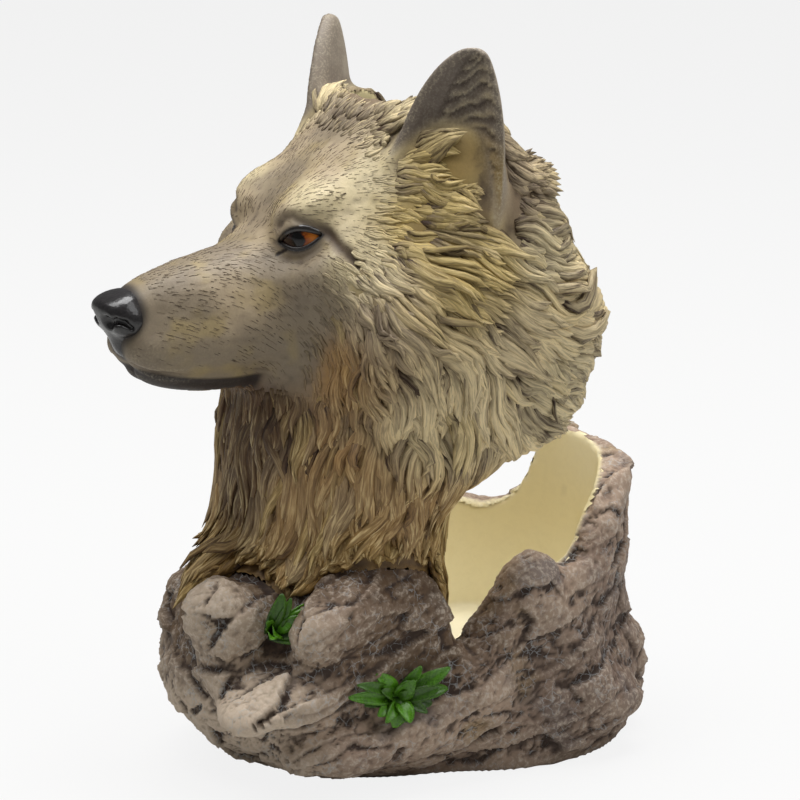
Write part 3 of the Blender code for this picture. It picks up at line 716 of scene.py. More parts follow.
def linear(code):
    """A hex sRGB colour, or a paint by its name, as linear values."""
    code = PAINTS.get(code, code)
    values = np.array([int(code[i:i + 2], 16) / 255 for i in (1, 3, 5)])
    return np.where(values <= 0.04045, values / 12.92, ((values + 0.055) / 1.055) ** 2.4)


# Paints of the coat, and the places on the wolf's left where each lies, in mm; the right side mirrors them
PAINTS = {
    "cream": "#d8c89f", "pale": "#f3deaf", "beige": "#b5a284", "mauve": "#8a7c66", "yellow": "#c6ad68",
    "ochre": "#9c7733", "tan": "#a27d4a", "umber": "#634528",
}
COAT_PAINT = {
    # Mauve is the muzzle's grey-brown; at (20, -98, 150), (15, -118, 149) and (26, -84, 150) it also darkens
    # the lower muzzle as painted shade
    "mauve": (
        (0, -134, 174), (0, -118, 178), (0, -100, 184), (12, -128, 163), (17, -114, 160), (20, -98, 150),
        (15, -118, 149), (22, -90, 178), (26, -84, 178), (0, -78, 206), (0, -58, 224), (30, -78, 165),
        (26, -84, 150),
    ),
    "beige": (
        (19, -102, 164), (14, -88, 192), (16, -66, 212), (45, -62, 160), (0, -30, 230), (55, -16, 205),
    ),
    "cream": (
        (24, -78, 202), (30, -60, 206), (40, -66, 178), (58, -8, 178), (57, -4, 137), (30, -30, 226),
    ),
    "tan": (
        (38, -72, 145), (34, -76, 110), (25, -84, 98), (46, -56, 95),
    ),
    "yellow": (
        (48, -50, 192), (44, -40, 208), (60, -34, 174),
    ),
    "pale": (
        (57, 2, 165), (60, -22, 150), (50, -46, 128), (56, -30, 138),
    ),
    # Umber under the jaw and down the throat: painted shade beneath the head
    "umber": (
        (20, -86, 118), (0, -90, 100), (10, -96, 124),
    ),
    "ochre": (
        (40, -66, 80), (50, -36, 82), (8, -104, 72),
    ),
}
PAINT_REACH = 12 * MM


def coat_paint(points):
    """The coat's paint: the guides' colours, each weighted by how near it is."""
    mirrored = folded(points)
    total, weights = np.zeros((len(points), 3)), np.zeros(len(points))
    for name, places in COAT_PAINT.items():
        for place in places:
            far = ((mirrored - vector(*place) * MM) ** 2).sum(1) / PAINT_REACH**2
            weight = 1 / (far + 0.25) ** 2.5
            total += weight[:, None] * linear(name)
            weights += weight
    return total / weights[:, None]


def painted(base, *coats):
    """Coats of paint laid over a base, each a colour and how much of it there is at each point."""
    if isinstance(base, str):
        base = linear(base)
    for code, share in coats:
        share = np.clip(share, 0, 1)[:, None]
        base = base * (1 - share) + linear(code) * share
    return base


def new_material(name):
    material = bpy.data.materials.new(name)
    material.use_nodes = True
    return material, material.node_tree, material.node_tree.nodes["Principled BSDF"]


def connect(tree, node, inputs):
    """Gives a node's inputs, by name or number, their values, or links them from sockets."""
    for key, value in inputs.items():
        if isinstance(value, bpy.types.NodeSocket):
            tree.links.new(value, node.inputs[key])
        else:
            node.inputs[key].default_value = value


def add(tree, kind, inputs=None, **settings):
    """Adds a node with its settings, and with values or links for its inputs."""
    node = tree.nodes.new(kind)
    for key, value in settings.items():
        setattr(node, key, value)
    connect(tree, node, inputs or {})
    return node


def colour(code):
    return (*linear(code), 1)


def noise_node(tree, place, scale, detail, uneven, bend=0.0):
    inputs = {"Vector": place, "Scale": scale, "Detail": detail, "Roughness": uneven, "Distortion": bend}
    return add(tree, "ShaderNodeTexNoise", inputs)


def remap(tree, value, low, high, to_low=0.0, to_high=1.0):
    """A value, with the range from low to high stretched over another."""
    inputs = {"Value": value, "From Min": low, "From Max": high, "To Min": to_low, "To Max": to_high}
    return add(tree, "ShaderNodeMapRange", inputs).outputs[0]


def combine(tree, operation, first, second, clamp=False):
    inputs = {0: first, 1: second}
    return add(tree, "ShaderNodeMath", inputs, operation=operation, use_clamp=clamp).outputs[0]


def lay(tree, share, under, over):
    """One colour laid over another, as much as the share says."""
    return add(tree, "ShaderNodeMix", {0: share, 6: under, 7: over}, data_type="RGBA").outputs[2]


def bump_node(tree, height, depth_mm):
    inputs = {"Height": height, "Strength": 1.0, "Distance": depth_mm * MM}
    return add(tree, "ShaderNodeBump", inputs).outputs[0]


def own(tree, name):
    """The piece's own attribute at each point."""
    return add(tree, "ShaderNodeAttribute", attribute_type="GEOMETRY", attribute_name=name).outputs


def resin_paint(name, strand, grain_mm, roughness, dark, pale, bump, speckle=0.42, crackle=None):
    """Cold-cast resin, cast in a silicone mould and painted by hand with matt acrylics: the piece's base
    paint, a dark wash that stays in the grooves, and a pale dry brush on the crests, with the strands or
    the grain cut fine. The attribute "paint" is the base, "wash" how deep a point lies, and "crest" how
    high. Crackle, where it is given, is the colour of the fine web of lines that the drying paint left in
    patches."""
    material, tree, shader = new_material(name)
    place = add(tree, "ShaderNodeTexCoord").outputs
    source, scale = ("UV", (1.0, 0.085, 1.0)) if strand else ("Object", (1000, 1000, 1000))
    spot = add(tree, "ShaderNodeMapping", {"Vector": place[source], "Scale": scale}).outputs[0]
    grain = noise_node(tree, spot, 1 / grain_mm, 3.0, 0.6, 0.35).outputs
    fine = grain["Fac"]
    blotch = noise_node(tree, place["Object"], 1 / (7 * MM), 4.0, 0.65).outputs["Fac"]
    patch = remap(tree, blotch, 0.3, 0.7, 0.72, 1.25)
    depth = combine(tree, "MULTIPLY", own(tree, "wash")["Fac"], patch)
    depth = combine(tree, "ADD", depth, remap(tree, fine, 0.56, 0.36, 0.0, speckle), clamp=True)
    final = lay(tree, depth, own(tree, "paint")["Color"], colour(dark))
    lift = remap(tree, fine, 0.48, 0.66, 0.15)
    brushed = combine(tree, "MULTIPLY", own(tree, "crest")["Fac"], lift, clamp=True)
    final = lay(tree, brushed, final, colour(pale))
    if crackle:
        inputs = {0: grain["Color"], 1: (1.6, 1.6, 1.6), 2: spot}
        bent = add(tree, "ShaderNodeVectorMath", inputs, operation="MULTIPLY_ADD").outputs[0]
        inputs = {"Vector": bent, "Scale": 0.30}
        web = add(tree, "ShaderNodeTexVoronoi", inputs, feature="DISTANCE_TO_EDGE").outputs["Distance"]
        line = remap(tree, web, 0.06, 0.0, 0.0, 0.55)
        share = combine(tree, "MULTIPLY", line, remap(tree, blotch, 0.47, 0.60))
        final = lay(tree, share, final, colour(crackle))
    sheen = remap(tree, blotch, 0.3, 0.7, roughness - 0.08, roughness + 0.1)
    inputs = {"Base Color": final, "Roughness": sheen, "Normal": bump_node(tree, fine, bump), "IOR": 1.5}
    connect(tree, shader, inputs)
    return material


def gloss_paint(name, base, mottle, roughness, coat, bump, scale_mm):
    """A gloss enamel brushed over resin: one colour mottled with another, under a clear coat."""
    material, tree, shader = new_material(name)
    place = add(tree, "ShaderNodeTexCoord").outputs["Object"]
    spots = noise_node(tree, place, 1 / (scale_mm * MM), 3.0, 0.6).outputs["Fac"]
    tone = lay(tree, remap(tree, spots, 0.4, 0.62), colour(base), colour(mottle))
    connect(tree, shader, {
        "Base Color": tone, "Normal": bump_node(tree, spots, bump), "Roughness": roughness,
        "Coat Weight": coat, "Coat Roughness": 0.08,
    })
    return material


# The skin in zones, each sampled as fine as it needs

BOUNDS_LOW = (-0.072, -0.150, -0.004)
BOUNDS_HIGH = (0.072, 0.066, 0.256)
COAT_LOW = (-0.072, -0.125, 0.045)
# Fineness at which each piece is sampled
ROCK_STEP = 1.0 * MM
LINING_STEP = 1.8 * MM
COAT_STEP = 1.05 * MM
FACE_STEP = 0.66 * MM
NOSE_STEP = 0.4 * MM
FACE_BACK = -0.052
FACE_LOW = 0.1335


def zone(distance, low, high, step, chosen):
    """The skin meshed in a box, keeping the quads whose middles are chosen, and laid exactly on the
    surface."""
    values = sample(distance, low, high, step)
    points, quads = surface(values, low, step)
    middle = points[quads].mean(1)
    points, quads = keep_faces(points, quads, chosen(middle))
    for _ in range(2):
        normal = slope(distance, points, 0.15 * MM)
        points = points - normal * np.clip(distance(points), -step / 2, step / 2)[:, None]
    return points, quads, slope(distance, points, 0.3 * MM)


def on_lining(p, more=0.15 * MM):
    return (past_bore(p) < more) & (p[:, 2] > CUP_FLOOR - 0.3 * MM)


def on_face(p):
    return (p[:, 1] < FACE_BACK) & (p[:, 2] > FACE_LOW)


def on_rock(p):
    return rocks(p) < bare_coat(p)


def rock_relief(points):
    """Weathered rock: how far it rises in big tilted facets along the strata, small ones on them, cracks
    where cells meet, pits and grain."""
    leaning = points @ turn(*STRATA_TURN) / (vector(*STRATA_STRETCH))
    _, _, small, _ = cells(leaning, 5.2, 40)
    near, far, _, _ = cells(leaning + 0.8 * MM * noise(points, 3, 3)[:, None], 8, 60)
    crack = smooth(0.16, 0.0, far - near)
    near, far, _, _ = cells(points + 0.5 * MM * noise(points, 2, 4)[:, None], 3.2, 80)
    crackle = smooth(0.14, 0.0, far - near) * smooth(-0.1, 0.4, noise(points, 11, 5))
    pits = smooth(0.55, 0.85, noise(points, 1.9, 12))
    grain = rough(points, 15, 4, 19) * 1.3 + rough(points, 3, 3, 9) * 0.26
    return facets(points) * 0.70 + (small * 0.22 + grain - crack * 0.20 - crackle * 0.30 - pits * 0.35) * MM


def make_rock():
    """The rock base and the cup's outer wall and rim."""
    def chosen(p):
        return on_rock(p) & ~on_lining(p)

    points, quads, normals = zone(skin, BOUNDS_LOW, (0.072, 0.066, 0.112), ROCK_STEP, chosen)
    stone = ramp(-1, 1.5, past_bore(points))
    stone = np.maximum(stone, smooth(CUP_FLOOR + 2 * MM, CUP_FLOOR - 1 * MM, points[:, 2]))
    stone = stone * ramp(0, 5, points[:, 2]) * ramp(-1, 3, bare_coat(points))
    points = points + normals * (rock_relief(points) * stone)[:, None]
    points[:, 2] = np.maximum(points[:, 2], 0)
    _, y, z = points.T
    lies = hollows(points, quads, 14)
    tight = hollows(points, quads, 3)
    # Painted shade: the rock is darker under the neck and where it meets the fur
    under_neck = np.linalg.norm(points - vector(42, -42, 50) * MM, axis=1) / 1.6
    shade_distance = np.minimum(under_neck, np.abs(bare_coat(points)))
    base = painted(
        "#947c6a",
        ("#b39a84", smooth(-0.6, 0.7, rough(points, 26, 3, 21))),
        ("#716663", smooth(0.25, 0.9, rough(points, 14, 3, 31)) * 0.7),
        ("#8f7440", smooth(0.5, 1.1, rough(points, 17, 3, 51)) * 0.6),
        # Painted light: paler towards the front of the rock
        ("#d9c6ae", ramp(-76, -106, y) * 0.75),
        ("#6e5b4e", ramp(-30, 0, y) * ramp(70, 45, z) * 0.5),
        ("#563c1e", ramp(20, 4, shade_distance) * 0.9),
    )
    low = ramp(0, 0.4, lies) * 0.65 + ramp(0, 0.12, tight) * 0.35
    crest = ramp(0.02, 0.35, -lies) * 0.45 + ramp(0.02, 0.12, -tight) * 0.22
    inner = ramp(1.9, 0.6, past_bore(points)) * smooth(CUP_FLOOR, CUP_FLOOR + 3 * MM, z)
    base = base * (1 - inner[:, None]) + lining_paint(points) * inner[:, None]
    wash = np.clip(low * (1 - inner), 0, 0.95)
    piece("rock_base", points, [quads], ROCK_PAINT, paint=base, wash=wash, crest=crest * (1 - inner))


def lining_paint(points):
    """Cream inside the cup, brighter towards its floor with painted light, and a little ochre here
    and there.
    """
    height = points[:, 2]
    return painted(
        "#f8f1d6",
        ("#f0e4bd", smooth(0.03, 0.075, height)),
        ("#c9ba88", smooth(0.10, 0.15, height) * 0.8),
        ("#dcc98c", smooth(0.2, 1.0, rough(points, 22, 3, 73)) * 0.4),
    )


def make_lining():
    """The bottle's space: a smooth wall and floor with a painted wash, as they left the mould."""
    def chosen(p):
        return on_lining(p, 1.6 * MM)

    points, quads, normals = zone(skin, BOUNDS_LOW, BOUNDS_HIGH, LINING_STEP, chosen)
    tuck = rough(points, 30, 2, 71) * 0.10 + ramp(0.1, 0.7, past_bore(points)) * 0.45
    points = points - normals * tuck[:, None] * MM
    specks = smooth(0.80, 0.95, noise(points, 3.5, 77)) * 0.15
    base = lining_paint(points)
    piece("bottle_lining", points, [quads], LINING_PAINT, paint=base, wash=specks, crest=specks * 0)


def ear_relief(points, normals):
    """Inside the ear, ragged tufts lie over one another like steps and run across it; its back edge is a
    smooth thick rim. Returns the rise, and how much of the tufts' steps, of the rim, of the inside and of
    the opening's foot is at each point."""
    rise, across, depth, level, opening = from_ear(points)
    across = across / (EAR_WIDTH / 2 * (1 - np.minimum(level, 0.97) ** 2.4) ** 0.7)
    facing = normals * np.where(points[:, :1] < 0, (-1, 1, 1), 1)
    inside = smooth(0.1, 0.5, facing @ opening) * ramp(1.0, -0.2, ear(points))
    tufts = inside * smooth(0.62, 0.48, across) * smooth(-1.15, -0.7, across)
    wave = rise + 1.8 * MM * np.sin(across * 4 + rough(points, 9, 2, 131)) + 4.5 * MM * across
    step = wave / (4.6 * MM) + 0.45 * noise(points, 6, 133)
    step = step - np.floor(step)
    thread = noise(np.stack([wave * 3.0, across * 0.004, depth], 1), 2.2, 135)
    lift = (0.85 - step) * smooth(0.0, 0.12, step) * 0.9 * MM + thread * 0.22 * MM
    edge = smooth(0.10, 0.0, np.abs(across - 0.54)) * 0.5 * MM
    bumps = rough(points, 4, 2, 137) * 0.20 * MM
    rim = inside * smooth(0.50, 0.66, across)
    foot = inside * ramp(20, 4, rise) * smooth(0.5, -0.1, across)
    return tufts * lift + inside * (bumps - edge), tufts * smooth(0.75, 1.0, step), rim, inside, foot


def make_coat():
    """The skin under the locks, and the ears: soft folds that run with the hair."""
    def chosen(p):
        inside_face = (p[:, 1] < FACE_BACK - 1 * MM) & (p[:, 2] > FACE_LOW + 1 * MM)
        return ~on_rock(p) & ~on_lining(p) & ~inside_face

    points, quads, normals = zone(skin, COAT_LOW, BOUNDS_HIGH, COAT_STEP, chosen)
    length = shag(points)
    lift, steps, rim, inside, foot = ear_relief(points, normals)
    points = points + normals * (rough(points, 7, 3, 91) * 0.35 * MM * length + lift)[:, None]
    lies = hollows(points, quads, 6)
    on_ear = ramp(1.5, 0, ear(points))
    shell = painted(
        "#85796c",
        ("#a79b8a", smooth(-0.4, 0.8, rough(points, 11, 3, 141))),
        ("#5d5147", inside * 0.85),
        ("#9a7f45", foot * 0.9),
        ("#6f6359", rim),
    )
    hollow = ramp(15, 5, np.linalg.norm(folded(points) - vector(*EAR_HOLLOW) * MM, axis=1))
    base = under_coat(points, length)
    base = base * (1 - on_ear[:, None]) + shell * on_ear[:, None]
    base = painted(base, ("#a88a4c", hollow * 0.7))
    # Heavier wash where the hair is long: dark wash and painted shade under the locks
    wash = np.clip(length * 0.25 + ramp(0, 0.2, lies) * 0.45 + steps * 0.6, 0, 0.9)
    crest = (1 - length) * 0.12 + ramp(0.02, 0.15, -lies) * 0.25 * on_ear
    piece("coat_skin", points, [quads], FACE_PAINT, paint=base, wash=wash, crest=crest)


# The bare hollow at the foot of the left ear's opening, in mm
EAR_HOLLOW = (50, -38, 214)


def raised(points):
    """How far the hair stands out of the skin, from none to all of it: on the forehead and round the eyes
    it is only cut into the skin, and it rises from there on."""
    mirrored = folded(points)
    forehead = smooth(0.182, 0.200, points[:, 2]) * smooth(-0.040, -0.060, points[:, 1])
    eye = ramp(26, 12, np.linalg.norm(mirrored - vector(25, -71, 187) * MM, axis=1))
    hollow = ramp(16, 9, np.linalg.norm(mirrored - vector(*EAR_HOLLOW) * MM, axis=1))
    return (1 - forehead) * (1 - eye) * (1 - hollow)


def under_coat(points, length):
    """The paint on the skin: the coat's, and umber where long hair covers it, for the dark wash and the
    painted shade in the crevices between the locks.
    """
    return painted(coat_paint(points), ("umber", length * raised(points) * 0.5))


# The mouth's line from the chin to its corner, in mm: y, height
MOUTH_LINE = ((-140, 148.5), (-130, 145), (-114, 142), (-102, 141), (-92, 141))
# Lines on the face as seen from in front of the left eye, in mm from its centre: across it, up it
EYE_FOLD = (
    (-6.5, 5.5), (-4.0, 7.8), (-0.5, 7.9), (4.9, 4.6), (8.5, 1.6), (12.0, -1.8), (16.4, -5.8), (20.0, -10.4),
)
TEAR_DUCT = ((-5.0, -2.6), (-8.8, -3.9))


def jaw_band(points):
    """How much a point belongs to the dark lip and lower jaw: below the mouth's line, from the chin to its
    corner."""
    places, heights = np.array(MOUTH_LINE).T * MM
    below = ramp(0.6, -0.6, points[:, 2] - spline(points[:, 1], places, heights))
    return below * smooth(-0.0895, -0.0925, points[:, 1])


def eye_lines(points):
    """Distances from the fold that runs over the eye and down behind it, and from the tear duct, seen from in
    front of the eye; then how far across the eye each point lies."""
    local = from_eye(points) / MM
    flat = np.stack([local[:, 0], np.clip(np.abs(local[:, 1]) - 16, 0, None), local[:, 2]], 1)
    found = []
    for line in (EYE_FOLD, TEAR_DUCT):
        nearest = np.full(len(points), np.inf)
        for (x0, z0), (x1, z1) in zip(line[:-1], line[1:]):
            start, way = vector(x0, 0, z0), vector(x1 - x0, 0, z1 - z0)
            share = np.clip((flat - start) @ way / (way @ way), 0, 1)
            nearest = np.minimum(nearest, np.linalg.norm(flat - start - share[:, None] * way, axis=1))
        found.append(nearest * MM)
    return found[0], found[1], local[:, 0] * MM


def face_relief(points):
    """How far the face rises: soft folds of skin, fine strokes cut with the hair, the fold over the eye.
    Returns the strokes too, and how much of them the place has."""
    streak = np.stack([points[:, 0], points[:, 1] * 0.22 + points[:, 2] * 0.05, points[:, 2]], 1)
    strokes = noise(streak, 1.5, 101) * 0.5 + noise(streak, 2.8, 102) * 0.5
    gap = eye_gap(points)
    soft = ramp(0, 6, nose(points)) * ramp(1.0, 4, gap)
    fold, duct, _ = eye_lines(points)
    rise = (strokes * 0.12 + rough(points, 8, 3, 105) * 0.22) * soft * (1 - 0.8 * jaw_band(points))
    rise = rise - ramp(2.6, 0, fold) * 0.8 - ramp(0.2, -0.5, gap) * 1.2
    return (rise - ramp(0.8, 0, duct) * 0.5) * MM, strokes, soft


def make_face():
    """Muzzle, cheeks, brows and eye sockets, cut finer than the rest. Returns the points that carry
    strokes."""
    def distance(p):
        return soft_max(soft_min(bare_coat(p), rocks(p), 2.5 * MM), -bore(p), 1.2 * MM)

    low, high = (-0.062, -0.150, 0.132), (0.062, -0.050, 0.234)
    points, quads, normals = zone(distance, low, high, FACE_STEP, on_face)
    rise, strokes, soft = face_relief(points)
    points = points + normals * rise[:, None]
    lies = hollows(points, quads, 8)
    fold, duct, along = eye_lines(points)
    gap, jaw, length = eye_gap(points), jaw_band(points), shag(points)
    patches = rough(points, 10, 3, 107)
    base = painted(
        under_coat(points, length),
        ("#b09a5c", smooth(0.1, 0.9, patches) * 0.40 * soft),
        ("#6e6258", smooth(0.0, 0.9, -patches) * 0.30 * soft),
        ("#52463c", ramp(3.4, 0.2, fold) * 0.6),
        ("#4a3524", ramp(3.4, 0.4, fold) * ramp(4, 12, along) * 0.75),
        ("#2b221e", jaw),
        ("#5d5148", ramp(3.5, 0.5, gap) * 0.6),
        ("#120e0d", ramp(1.3, 0.4, gap)),
        ("#120e0d", ramp(0.8, 0.3, duct)),
        ("#2b2624", ramp(3.2, 0.2, nose(points)) * 0.9),
    )
    wash = ramp(0, 0.22, lies) * 0.4 + smooth(0.1, 0.8, -strokes) * 0.3 * soft
    crest = ramp(0, 0.25, -lies) * 0.25 * soft
    piece("wolf_face", points, [quads], FACE_PAINT, paint=base, wash=wash, crest=crest)
    return points[(jaw < 0.1) & (soft > 0.8) & ((length < 0.3) | (raised(points) < 0.6))]


def make_strokes(places, spacing, longest, seed):
    """The fine short strokes that the modeller cut into the face, as dark slivers flush with the skin. Each
    is a narrow diamond section carried along the lie of the hair, thickest in its middle."""
    rng = np.random.default_rng(seed)
    roots = places[spread(places, spacing, rng)]
    fewest = smooth(0.172, 0.150, roots[:, 2]) * 0.5 + 0.25
    roots = roots[noise(roots, 6, 151) * 0.7 + rng.uniform(0, 1, len(roots)) > fewest]
    count, stations = len(roots), 4
    lengths = rng.uniform(0.35, 1.0, count) ** 1.4 * longest
    none = np.zeros(count)
    spots, ups = trace(roots, lengths, stations, rng.uniform(-0.35, 0.35, count), none, none)
    rise, _, _ = face_relief(spots.reshape(-1, 3))
    spots = spots + ups * (rise.reshape(count, stations) + 0.02 * MM)[..., None]
    sides = unit(np.cross(ups, np.gradient(spots, axis=1)))
    s = np.linspace(0, 1, stations)
    wide = rng.uniform(0.07, 0.15, count)[:, None] * MM * np.sin(np.pi * (s * 0.86 + 0.10)) ** 0.8
    across = wide[..., None] * np.array([-1, 0, 1])
    height = np.broadcast_to(np.array([-0.06, 0.08, -0.06]) * MM, across.shape)
    points, faces = carry(spots, sides, ups, across, height)
    base = painted("#43362c", ("#84735c", np.repeat(rng.uniform(0, 1, count), stations * 3)))
    none = np.zeros(len(points))
    piece("face_strokes", points, faces, FACE_PAINT, paint=base, wash=none, crest=none)


# Locks of hair

def leaves(p):
    """Distance to the solid's tufts of leaves, which the solid's locks keep clear of."""
    d = np.full(len(p), 1.0)
    for root, tip in [(root, tip) for root, tips in TUFTS for tip in tips]:
        reach = np.linalg.norm(tip)
        way = unit(vector(*tip))
        side = unit(np.cross(way, (1, 0, 0.3)))
        axes = np.stack([side, way, np.cross(side, way)], 1)
        radii = (LEAF_WIDTH / 2 + 0.6, reach * 0.55, LEAF_THICKNESS)
        d = np.minimum(d, ellipsoid(p, vector(*root) + vector(*tip) * 0.5, radii, axes))
    return d


def solid_locks():
    """The roots, sizes and bends of the solid's own locks, so that the big clumps of hair lie on the same
    ones."""
    def outside(p):
        return np.minimum(form(p), leaves(p))

    low, high = (-0.075, -0.152, -0.006), (0.075, 0.068, 0.264)
    points, _ = surface(sample(outside, low, high, GRID_STEP), low, GRID_STEP)
    amount = shag(points)
    random = np.random.default_rng(7)
    coated = np.nonzero(amount > 0.08)[0]
    roots = coated[spread(points[coated], LOCK_SPACING, random)]
    bend = random.uniform(-0.5, 0.5, len(roots))
    size = np.sqrt(amount[roots]) * random.uniform(0.75, 1.15, len(roots))
    return points[roots], size, bend


def trace(roots, lengths, stations, bends, waves, starts):
    """Paths that follow the lie of the coat from their roots and swing to each side. They keep to the skin,
    but where it turns away sharply they run on straight, as stiff hair does."""
    here = roots
    step = lengths / (stations - 1)
    spots, normals = [], []
    for k in range(stations):
        normal = slope(form, here)
        spots.append(here)
        normals.append(normal)
        share = k / (stations - 1)
        way = lie(here, normal)
        if k:
            turned = (way * before).sum(1, keepdims=True)
            way = np.where(turned < 0.2, before, way)
        swing = bends * (share - 0.3) + waves * np.sin(2 * np.pi * share * 1.1 + starts)
        before = unit(way + np.cross(normal, way) * swing[:, None])
        here = here + before * step[:, None]
        off = form(here)
        here = here - normal * np.where(off > 0, np.minimum(off, step * 0.12), off)[:, None]
    return np.stack(spots, 1), np.stack(normals, 1)


def cut_short(spots, ups, shortest):
    """Paths that end where they would enter the bottle's space, run onto the rock or lie over an ear. Each
    keeps its number of stations, read again along what is left of it. Returns too what share of each is
    left, and which are long enough."""
    count, stations = spots.shape[:2]
    flat = spots.reshape(-1, 3)
    bad = (past_bore(flat) < 0.3 * MM) & (flat[:, 2] > CUP_FLOOR)
    bad = bad | (rocks(flat) - bare_coat(flat) < -0.5 * MM) | (ear(flat) < 2.0 * MM)
    bad = bad.reshape(count, stations)
    share = np.clip(np.where(bad.any(1), bad.argmax(1), stations) - 1, 0, stations - 1) / (stations - 1)
    at = np.linspace(0, 1, stations) * (share * (stations - 1))[:, None]
    low = np.minimum(at.astype(int), stations - 2)
    part = (at - low)[..., None]
    row = np.arange(count)[:, None]
    spots, ups = (path[row, low] * (1 - part) + path[row, low + 1] * part for path in (spots, ups))
    return spots, ups, share, share >= shortest


def make_clumps(name, roots, size, bend, length, width, rise, strands, stations, seed, fan=0.0, dark=0.5,
                groove=0.4, start=0.4):
    """Clumps of hair: each is several strands side by side on one path. A strand is a small domed section
    carried along the path, set off to its side. The strands of a pointed clump close up towards the tip;
    those of a fan spread, and end along an arc. The root is sunk and the tip stands clear of the skin."""
    rng = np.random.default_rng(seed)
    clumps = len(roots)
    swings, starts = rng.uniform(0.1, 0.42, clumps), rng.uniform(0, 2 * np.pi, clumps)
    spots, ups = trace(roots, length * size, stations, bend * 1.2, swings, starts)
    spots, ups, share, kept = cut_short(spots, ups, 0.3)
    kept = kept & (raised(spots[:, 0]) > start)
    spots, ups, size, share = spots[kept], ups[kept], size[kept], share[kept]
    long = shag(spots[:, 0])
    high = raised(spots[:, 0]) * smooth(0.0, 0.45, long)
    size = size * (0.55 + 0.45 * high)
    rise = (rise * (0.25 + 0.75 * high) * size)[:, None]
    clumps, total = len(spots), len(spots) * strands
    along = unit(np.gradient(spots, axis=1))
    sides = unit(np.cross(ups, along))
    s = np.linspace(0, 1, stations)
    fans = (rng.uniform(0, 1, clumps) < fan)[:, None] * 1.0
    lanes = (clumps, strands)
    place = np.clip(np.linspace(-1, 1, strands) + rng.normal(0, 0.10, lanes), -1.1, 1.1)
    reach = 1 - 0.22 * place**2 * (0.5 + fans) - rng.uniform(0, 0.16, lanes)
    pointed = (0.55 + 0.45 * smooth(0, 0.3, s)) * (1 - 0.86 * s**1.8)
    fanned = 0.45 + 0.75 * s**1.2
    spread_out = pointed * (1 - fans) + fanned * fans
    half = width / 2 * size[:, None, None]
    weave = rng.uniform(-1, 1, lanes + (1,))
    weave = weave * np.sin(np.pi * s * rng.uniform(0.8, 1.7, lanes + (1,)))
    gap = half * (place[:, :, None] * spread_out[:, None, :] + weave * 0.16)
    back = (1 - reach)[:, :, None] * length * (size * share)[:, None, None] * s
    crown = rise * (1 - 0.65 * np.abs(place) ** 2.2) * rng.uniform(0.75, 1.2, lanes)
    lift = rise[:, :, None] * (1.35 * s**1.8 - 0.45 * (1 - s)) * rng.uniform(0.4, 1.5, (clumps, 1, 1))
    lift = lift + crown[:, :, None] * (0.35 + 0.65 * smooth(0.0, 0.4, s)) * (1 - 0.55 * s**3)
    off = sides[:, None] * gap[..., None] - along[:, None] * back[..., None] + ups[:, None] * lift[..., None]
    centres = (spots[:, None] + off).reshape(total, stations, 3)
    tangent = unit(np.gradient(centres, axis=1))
    side = unit(np.cross(np.repeat(ups, strands, axis=0), tangent))
    roll = (place * 0.5 + rng.normal(0, 0.12, lanes)).reshape(total, 1, 1)
    over = np.cross(tangent, side)
    side, over = side * np.cos(roll) - over * np.sin(roll), over * np.cos(roll) + side * np.sin(roll)
    a = np.array([-1, -0.4, 0.4, 1, 0])
    top = np.array([True, True, True, True, False])
    each = half[:, 0] / strands * 2.1 * rng.uniform(0.8, 1.25, lanes)
    taper = (0.5 + 0.5 * smooth(0, 0.25, s)) * (1 - s**3.2) ** 0.8 + 0.05
    wide = each.reshape(total, 1) * taper * (1 + 0.5 * np.repeat(fans, strands)[:, None] * s)
    across = wide[..., None] * a
    height = wide[..., None] * np.where(top, (1 - a**2) * 0.55, -0.7)
    points, faces = carry(centres, side, over, across, height)
    away = np.hypot(points[:, 0], points[:, 1])
    limit = BORE_RADIUS + 0.4 * MM
    push = np.where((points[:, 2] > CUP_FLOOR) & (away < limit), limit / away, 1)
    points[:, :2] *= push[:, None]
    of_strand = stations * len(a)
    of_clump = strands * of_strand
    tone = 0.07 * np.repeat(rng.normal(0, 1, clumps), of_clump)
    tone = tone + 0.06 * np.repeat(rng.normal(0, 1, total), of_strand)
    warm = np.repeat(rng.uniform(0, 1, clumps), of_clump)
    base = painted(
        coat_paint(points) * np.exp(tone)[:, None],
        ("yellow", smooth(0.75, 1.0, warm) * 0.7 * dark),
        ("mauve", smooth(0.25, 0.0, warm) * 0.7 * dark),
    )
    along_all, across_all = (np.broadcast_to(v, across.shape).ravel() for v in (s[:, None], np.abs(a)))
    under = np.broadcast_to(~top, across.shape).ravel()
    deep = np.repeat(smooth(0.05, 0.65, long), of_clump)
    rim = np.repeat(np.abs(place).ravel(), of_strand)
    # The wash lies in the grooves between strands, as the dark wash does; heavier at each clump's root, on
    # its outer strands and under the strands, it is also painted shade where clumps overlap
    wash = dark * smooth(0.5, 0.0, along_all) + groove * smooth(0.5, 1.0, across_all) * (1 - 0.35 * along_all)
    wash = wash + dark * 0.9 * smooth(0.55, 1.05, rim) * (1 - 0.4 * along_all)
    wash = np.where(under, 0.9, np.clip(wash, 0, 0.92)) * (0.15 + 0.85 * deep)
    crest = smooth(0.9, 0.3, across_all) * (0.26 + 0.70 * smooth(0.2, 1.0, along_all)) * smooth(1.2, 0.3, rim)
    crest = np.where(under, 0, crest) * (0.4 + 0.6 * deep)
    number = np.arange(total)[:, None, None]
    u = across / MM + number * 7.3
    v = s[:, None] * length / MM + number * 3.1 + across * 0
    uv = np.stack([u.ravel(), v.ravel()], 1)
    piece(name, points, faces, LOCK_PAINT, uv=uv, paint=base, wash=wash, crest=crest)


def seeds(spacing, chosen, seed):
    """Roots about one spacing apart on the coat, with a size and a bend for each."""
    rng = np.random.default_rng(seed)
    some = COAT_POINTS[chosen]
    roots = some[spread(some, spacing, rng)]
    size = rng.uniform(0.75, 1.2, len(roots)) * (0.4 + 0.6 * np.sqrt(shag(roots)))
    return roots, size, rng.uniform(-0.6, 0.6, len(roots))


# The eyes

